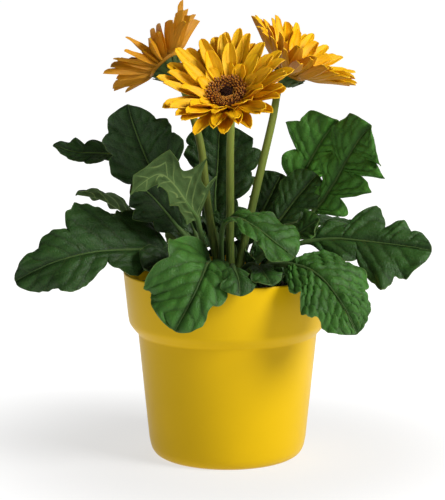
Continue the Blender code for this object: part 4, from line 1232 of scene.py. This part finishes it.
def bent_ray(template, bloom, around, rise, reach, root_height, bend, side_lean, half_width, draw):
    """A copy of the ray laid along its own curved line, as the solid's ray lies."""
    breadth, fold, rag = RAY_HABITS[bloom.name]
    head = mm(bloom.head)
    turn = bloom_turn(bloom)
    mesh = template.data.copy()
    side = around @ Vector((0, 1, 0))
    out = around @ Vector((1, 0, 0))
    rise += draw.uniform(-9, 6) * rag
    side_lean += draw.uniform(-0.16, 0.16) * rag
    length = reach * (1 - draw.uniform(0, 0.20) * rag) * BLOOM_RADIUS - RAY_ROOT
    twist = draw.uniform(-16, 16) * fold
    pinch = draw.uniform(0.3, 1.5)
    broad = draw.uniform(0.92, 1.10)
    sway = draw.uniform(-0.0009, 0.0009)
    tip_curl = draw.uniform(-6, 7) * fold
    line = [out * RAY_ROOT + UP * root_height]
    tilts = []
    for i in range(RAY_STEPS + 1):
        along = i / RAY_STEPS
        tilt = math.radians(rise + bend * min(along + RAY_BEND_LEAD, 1) + tip_curl * along ** 2)
        tilts.append(tilt)
        heading = out * math.cos(tilt) + UP * math.sin(tilt) + side * side_lean * along
        line.append(line[-1] + heading * length / RAY_STEPS)
    for vert in mesh.vertices:
        across, along = -vert.co.x, vert.co.y
        at = min(along, 1) * RAY_STEPS
        i = min(int(at), RAY_STEPS - 1)
        place = line[i].lerp(line[i + 1], at - i)
        tilt = tilts[i]
        lift = UP * math.cos(tilt) - out * math.sin(tilt)
        roll = Quaternion(out * math.cos(tilt) + UP * math.sin(tilt), math.radians(twist * along))
        slimmed = 1 - 0.55 * rag * smooth(along, 0.45, 1.0)
        width = ray_width(along) * (half_width * breadth) * broad * slimmed
        channel = RAY_CHANNEL * pinch * fold * (2 * abs(across) ** 1.4 - 1) * smooth(along, 0, 0.3)
        groove = -RAY_GROOVE * math.cos(3 * math.pi * across) * smooth(along, 0.05, 0.3)
        wave = sway * math.sin(2 * math.pi * along) * across
        offset = roll @ (side * across * width + lift * (channel + groove + wave))
        vert.co = head + turn @ (place + offset)
    return mesh


def make_rays(bloom, look, finishes):
    """A head's rays on their receptacle. The finishes are those of their faces and of their backs."""
    draw = random.Random(bloom.seed)
    detail = random.Random(bloom.seed + 100)
    leaning = bloom_turn(bloom).inverted() @ Vector(bloom.lean)
    low_side = Vector((leaning.x, leaning.y, 0)).normalized()
    template = ray_template()
    bm = bmesh.new()
    for row, (count, rise, reach, root_height) in enumerate(WHORLS):
        for i in range(count):
            angle = 2 * math.pi * (i + 0.5 * row + draw.uniform(-TURN_JITTER, TURN_JITTER)) / count
            around = Quaternion(UP, angle)
            raised = bloom.raised * max((around @ Vector((1, 0, 0))).dot(low_side), 0)
            steep = rise + bloom.cup + raised * RAISED_RISE + draw.uniform(-RISE_JITTER, RISE_JITTER)
            mesh = bent_ray(template, bloom, around, min(steep, RAY_STEEPEST),
                            reach * draw.uniform(*REACH_RANGE), root_height,
                            raised * RAISED_BEND + draw.uniform(*BEND_RANGE),
                            draw.uniform(-SIDE_LEAN, SIDE_LEAN), look.half_width, detail)
            bm.from_mesh(mesh)
            bpy.data.meshes.remove(mesh)
    bpy.data.objects.remove(template)
    rays = painted(linked("rays", bm), finishes)
    modified(rays, "SOLIDIFY", thickness=RAY_THICKNESS, offset=0, material_offset=1, material_offset_rim=0)
    outline = ((RECEPTACLE_RADIUS * 0.9, RECEPTACLE_FOOT), (RECEPTACLE_RADIUS, 0),
               (RECEPTACLE_RADIUS * 0.9, RECEPTACLE_TOP))
    base = painted(turned("receptacle", smooth_rings(outline, 8), 48), finishes, 1)
    base.data.transform(head_matrix(bloom))
    return joined([rays, base], "rays")


class GERBERA_OT_rays(bpy.types.Operator):
    """Set the layers of grooved rays round each head"""
    bl_idname = "gerbera.rays"
    bl_label = "Rays"

    def execute(self, context):
        look = context.scene.gerbera_bloom
        dull = Vector(look.ray_back)
        # Painted shade: the faces' orange streaks in part, and the backs' darker roots and, in part, their
        # darker streaks.
        front = ray_finish("ray_face", look.ray, look.ray_root_shade, (0.66, 0.25, 0.002), 0.55)
        back = ray_finish("ray_back", dull, dull * 0.55, dull * 0.45, 0.60)
        for bloom in BLOOMS:
            piece = make_rays(bloom, look, (front, back))
            dressed(piece, "petals_" + bloom.name, "ray_yellow", "rays_" + bloom.name, angle=50)
        return {"FINISHED"}


# The outlines of the ring of florets, from under its rim over the top and in to the eye, and of the eye
DISC_OUTLINE = ((0.0115, 0.0018), (0.0138, 0.0034), (0.0145, 0.0042), (0.0130, 0.0060), (0.0104, 0.0066),
                (0.0078, 0.0060), (0.0064, 0.0044))
EYE_OUTLINE = ((0.0045, 0.0044), (0.0056, 0.0047), (0.0052, 0.0054), (0.0040, 0.0061), (0.0022, 0.0065),
               (0.0008, 0.0066))
# The radii between which the florets and the buds stand, their widths, and how deep they are set
FLORET_RING = (0.0054, 0.0133)
FLORET_WIDTH = 0.0026
FLORET_DEPTH = 0.0009
BUD_RING = (0.0, 0.0048)
BUD_WIDTH = 0.0021
BUD_HEIGHT = 0.0019
BUD_DEPTH = 0.0011
EYE_TOP = 0.0066
EYE_FALL = 0.0020


def floret_template():
    """A small tube whose mouth opens in five lobes, about its root, one unit tall."""
    bpy.ops.object.select_all(action="DESELECT")
    bpy.ops.mesh.primitive_cylinder_add(vertices=10, radius=0.19, depth=1, location=(0, 0, 0.5))
    obj = bpy.context.object
    bpy.ops.object.transform_apply(location=True)
    bpy.ops.object.mode_set(mode="EDIT")
    bpy.ops.mesh.select_all(action="DESELECT")
    bm = bmesh.from_edit_mesh(obj.data)
    for face in bm.faces:
        face.select = face.normal.z > 0.9
    bmesh.update_edit_mesh(obj.data)
    bpy.ops.mesh.inset(thickness=0.07)
    bpy.ops.mesh.extrude_region_move(TRANSFORM_OT_translate={"value": (0, 0, -0.45)})
    bpy.ops.object.mode_set(mode="OBJECT")
    for vert in obj.data.vertices:
        if vert.co.z > 0.9:
            turn = math.atan2(vert.co.y, vert.co.x)
            lobe = math.cos(5 * turn) > 0
            vert.co.xy *= 1.9 if lobe else 1.25
            vert.co.z += 0.10 if lobe else -0.16
        else:
            vert.co.xy *= 0.8
    marked(obj, [min(max(vert.co.z, 0), 1) for vert in obj.data.vertices])
    return obj


def marked(obj, tips):
    """Stores how near each point is to the piece's tip."""
    shape = obj.data.attributes.new("shape", "FLOAT_COLOR", "POINT")
    for value, tip in zip(shape.data, tips):
        value.color = (tip, 0, 0, 1)


def bud_template():
    """A closed pointed bud about its root, one unit tall."""
    bpy.ops.object.select_all(action="DESELECT")
    bpy.ops.mesh.primitive_uv_sphere_add(segments=8, ring_count=6, radius=1)
    obj = bpy.context.object
    for vert in obj.data.vertices:
        height = (vert.co.z + 1) / 2
        vert.co = (vert.co.x * 0.30, vert.co.y * 0.30, height ** 0.85)
    marked(obj, [vert.co.z for vert in obj.data.vertices])
    return obj


def on_outline(path, radius):
    """The height of the disc's top at a radius."""
    best = min(range(len(path.places)), key=lambda i: abs(path.places[i].x - radius) - path.places[i].z * 0.2)
    return path.place(path.marks[best]).z


def spiral(count, inner, outer):
    """Places on a sunflower spiral between two radii."""
    golden = math.pi * (3 - math.sqrt(5))
    for i in range(count):
        share = (i + 0.5) / count
        yield math.sqrt(inner ** 2 + (outer ** 2 - inner ** 2) * share), golden * i, share


def crowded(base, template, places, name, bloom):
    """Small pieces set on their base, at the bloom's head."""
    marked(base, [0.0] * len(base.data.vertices))
    piece = joined([base, scattered(name, template, places)], name)
    piece.data.transform(head_matrix(bloom))
    return piece


def set_down(radius, height, around, tilt, spin, wide, tall):
    """Turns and sizes a piece one unit tall, tilts it outwards and sets it at its place round the axis."""
    place = turn_about_z(around) @ Matrix.Translation((radius, 0, height))
    tilted = place @ Matrix.Rotation(tilt, 4, "Y") @ Matrix.Rotation(spin, 4, "Z")
    return tilted @ Matrix.Diagonal((wide, wide, tall, 1))


def make_florets(bloom, look):
    draw = random.Random(bloom.seed + 20)
    path = SmoothPath([Vector((radius, 0, height)) for radius, height in DISC_OUTLINE[2:]])
    places = []
    for radius, turn, share in spiral(look.florets, *FLORET_RING):
        tilt = (0.1 + 0.95 * share) + draw.uniform(-0.12, 0.12)
        tall = (0.0024 + 0.0014 * share) * draw.uniform(0.85, 1.15)
        wide = FLORET_WIDTH * draw.uniform(0.85, 1.1)
        around = turn + draw.uniform(-0.05, 0.05)
        height = on_outline(path, radius) - FLORET_DEPTH
        places.append(set_down(radius, height, around, tilt, draw.uniform(0, 1.2), wide, tall))
    base = turned("disc", smooth_rings(DISC_OUTLINE, 24), 48)
    return crowded(base, floret_template(), places, "disc", bloom)


def make_buds(bloom, look):
    draw = random.Random(bloom.seed + 30)
    places = []
    for radius, turn, share in spiral(look.buds, *BUD_RING):
        tilt = 0.7 * share + draw.uniform(-0.1, 0.1)
        tall = BUD_HEIGHT * draw.uniform(0.8, 1.15)
        wide = BUD_WIDTH * draw.uniform(0.85, 1.1)
        height = EYE_TOP - EYE_FALL * share ** 1.5 - BUD_DEPTH
        places.append(set_down(radius, height, turn, tilt, 0, wide, tall))
    return crowded(turned("eye", EYE_OUTLINE, 32), bud_template(), places, "eye", bloom)


class GERBERA_OT_discs(bpy.types.Operator):
    """Pack each head's middle with florets round a dark eye of buds"""
    bl_idname = "gerbera.discs"
    bl_label = "Discs and eyes"

    def execute(self, context):
        look = context.scene.gerbera_bloom
        brown = floret_finish(look)
        dark = bud_finish()
        for bloom in BLOOMS:
            florets = painted(make_florets(bloom, look), [brown])
            dressed(florets, "florets_" + bloom.name, "disc_brown", "disc_" + bloom.name, angle=50)
            buds = painted(make_buds(bloom, look), [dark])
            dressed(buds, "buds_" + bloom.name, "eye_dark", "eye_" + bloom.name, angle=50)
        return {"FINISHED"}


# Stage

FLOOR_SIZE = 40
# The distances from the pot's axis between which the floor's glow grows; the weaker glow nearer the pot adds
# painted shade round its foot
GLOW_RUN = (0.10, 0.32)
WORLD_STRENGTH = 0.12
# Soft round lights: name, place, the height on the axis that they aim at, width and power
LIGHTS = (("key", (1.75, -1.05, 1.5), 0.15, 1.1, 65), ("fill", (-1.6, -1.2, 1.0), 0.18, 1.4, 0.6),
          ("rim", (0.5, 1.5, 1.3), 0.25, 1.0, 3))


def aimed(name, data, place, target):
    """A light or camera in its place, turned towards a point."""
    obj = bpy.data.objects.new(name, data)
    obj.location = place
    obj.rotation_euler = (Vector(target) - Vector(place)).to_track_quat("-Z", "Y").to_euler()
    bpy.context.scene.collection.objects.link(obj)
    return obj


def floor_finish(look):
    """White, and glowing more the further it is from the pot, so that the dimmer floor by the pot is painted
    shade round its foot.
    """
    made = Finish("floor_white", Roughness=0.8, Specular_IOR_Level=0.2, Emission_Color=(1, 1, 1, 1))
    made.paint(made.mix(made.noise(2.0, 2), look.floor, Vector(look.floor) * 0.985))
    away = made.node("VectorMath", {0: made.place()}, output=1, operation="LENGTH")
    glow = made.node("MapRange", {"Value": away, "From Min": GLOW_RUN[0], "From Max": GLOW_RUN[1],
                                  "To Min": look.glow_near, "To Max": look.glow_far},
                     interpolation_type="SMOOTHSTEP")
    made.tree.links.new(glow, made.shader.inputs["Emission Strength"])
    return made.material


class GERBERA_OT_stage(bpy.types.Operator):
    """Set the pale floor, the soft lights and the camera"""
    bl_idname = "gerbera.stage"
    bl_label = "Stage"

    def execute(self, context):
        look = context.scene.gerbera_stage
        scene = context.scene
        bpy.ops.object.select_all(action="DESELECT")
        bpy.ops.mesh.primitive_plane_add(size=FLOOR_SIZE, location=(0, 0, 0))
        floor = bpy.context.object
        floor.name = "floor"
        floor.data.materials.append(floor_finish(look))
        world = bpy.data.worlds.new("studio")
        scene.world = world
        world.use_nodes = True
        background = world.node_tree.nodes["Background"]
        background.inputs["Color"].default_value = (1, 1, 1, 1)
        background.inputs["Strength"].default_value = WORLD_STRENGTH
        for name, place, height, width, power in LIGHTS:
            light = bpy.data.lights.new(name, "AREA")
            light.shape = "DISK"
            light.size = width
            light.energy = power
            aimed(name, light, place, (0, 0, height))
        scene.view_settings.view_transform = "Standard"
        camera = bpy.data.cameras.new("camera")
        camera.lens = look.lens
        camera.sensor_width = 36
        scene.camera = aimed("camera", camera, look.camera_place, look.camera_target)
        return {"FINISHED"}


class GERBERA_PT_sidebar(bpy.types.Panel):
    """Lists the steps and their sizes and colours"""
    bl_idname = "GERBERA_PT_sidebar"
    bl_label = "Potted gerbera"
    bl_space_type = "VIEW_3D"
    bl_region_type = "UI"
    bl_category = "Gerbera"

    def draw(self, context):
        layout = self.layout
        for step in STEPS:
            layout.operator(step.bl_idname)
        for group in LOOKS:
            box = layout.box()
            held = getattr(context.scene, group)
            for key in LOOKS[group].__annotations__:
                box.prop(held, key)


LOOKS = {"gerbera_pot": PotLook, "gerbera_leaf": LeafLook, "gerbera_bloom": BloomLook,
         "gerbera_stage": StageLook}
STEPS = (GERBERA_OT_pot, GERBERA_OT_soil, GERBERA_OT_leaves, GERBERA_OT_crown, GERBERA_OT_stems,
         GERBERA_OT_rays, GERBERA_OT_discs, GERBERA_OT_stage)


def register():
    for group in LOOKS.values():
        bpy.utils.register_class(group)
    for step in (*STEPS, GERBERA_PT_sidebar):
        bpy.utils.register_class(step)
    for name, group in LOOKS.items():
        setattr(bpy.types.Scene, name, PointerProperty(type=group))


def unregister():
    for name in LOOKS:
        delattr(bpy.types.Scene, name)
    for step in (GERBERA_PT_sidebar, *reversed(STEPS)):
        bpy.utils.unregister_class(step)
    for group in reversed(LOOKS.values()):
        bpy.utils.unregister_class(group)


def main():
    register()
    bpy.ops.gerbera.stage()
    bpy.ops.gerbera.pot()
    bpy.ops.gerbera.soil()
    bpy.ops.gerbera.leaves()
    bpy.ops.gerbera.crown()
    bpy.ops.gerbera.stems()
    bpy.ops.gerbera.rays()
    bpy.ops.gerbera.discs()


if __name__ == "__main__":
    main()
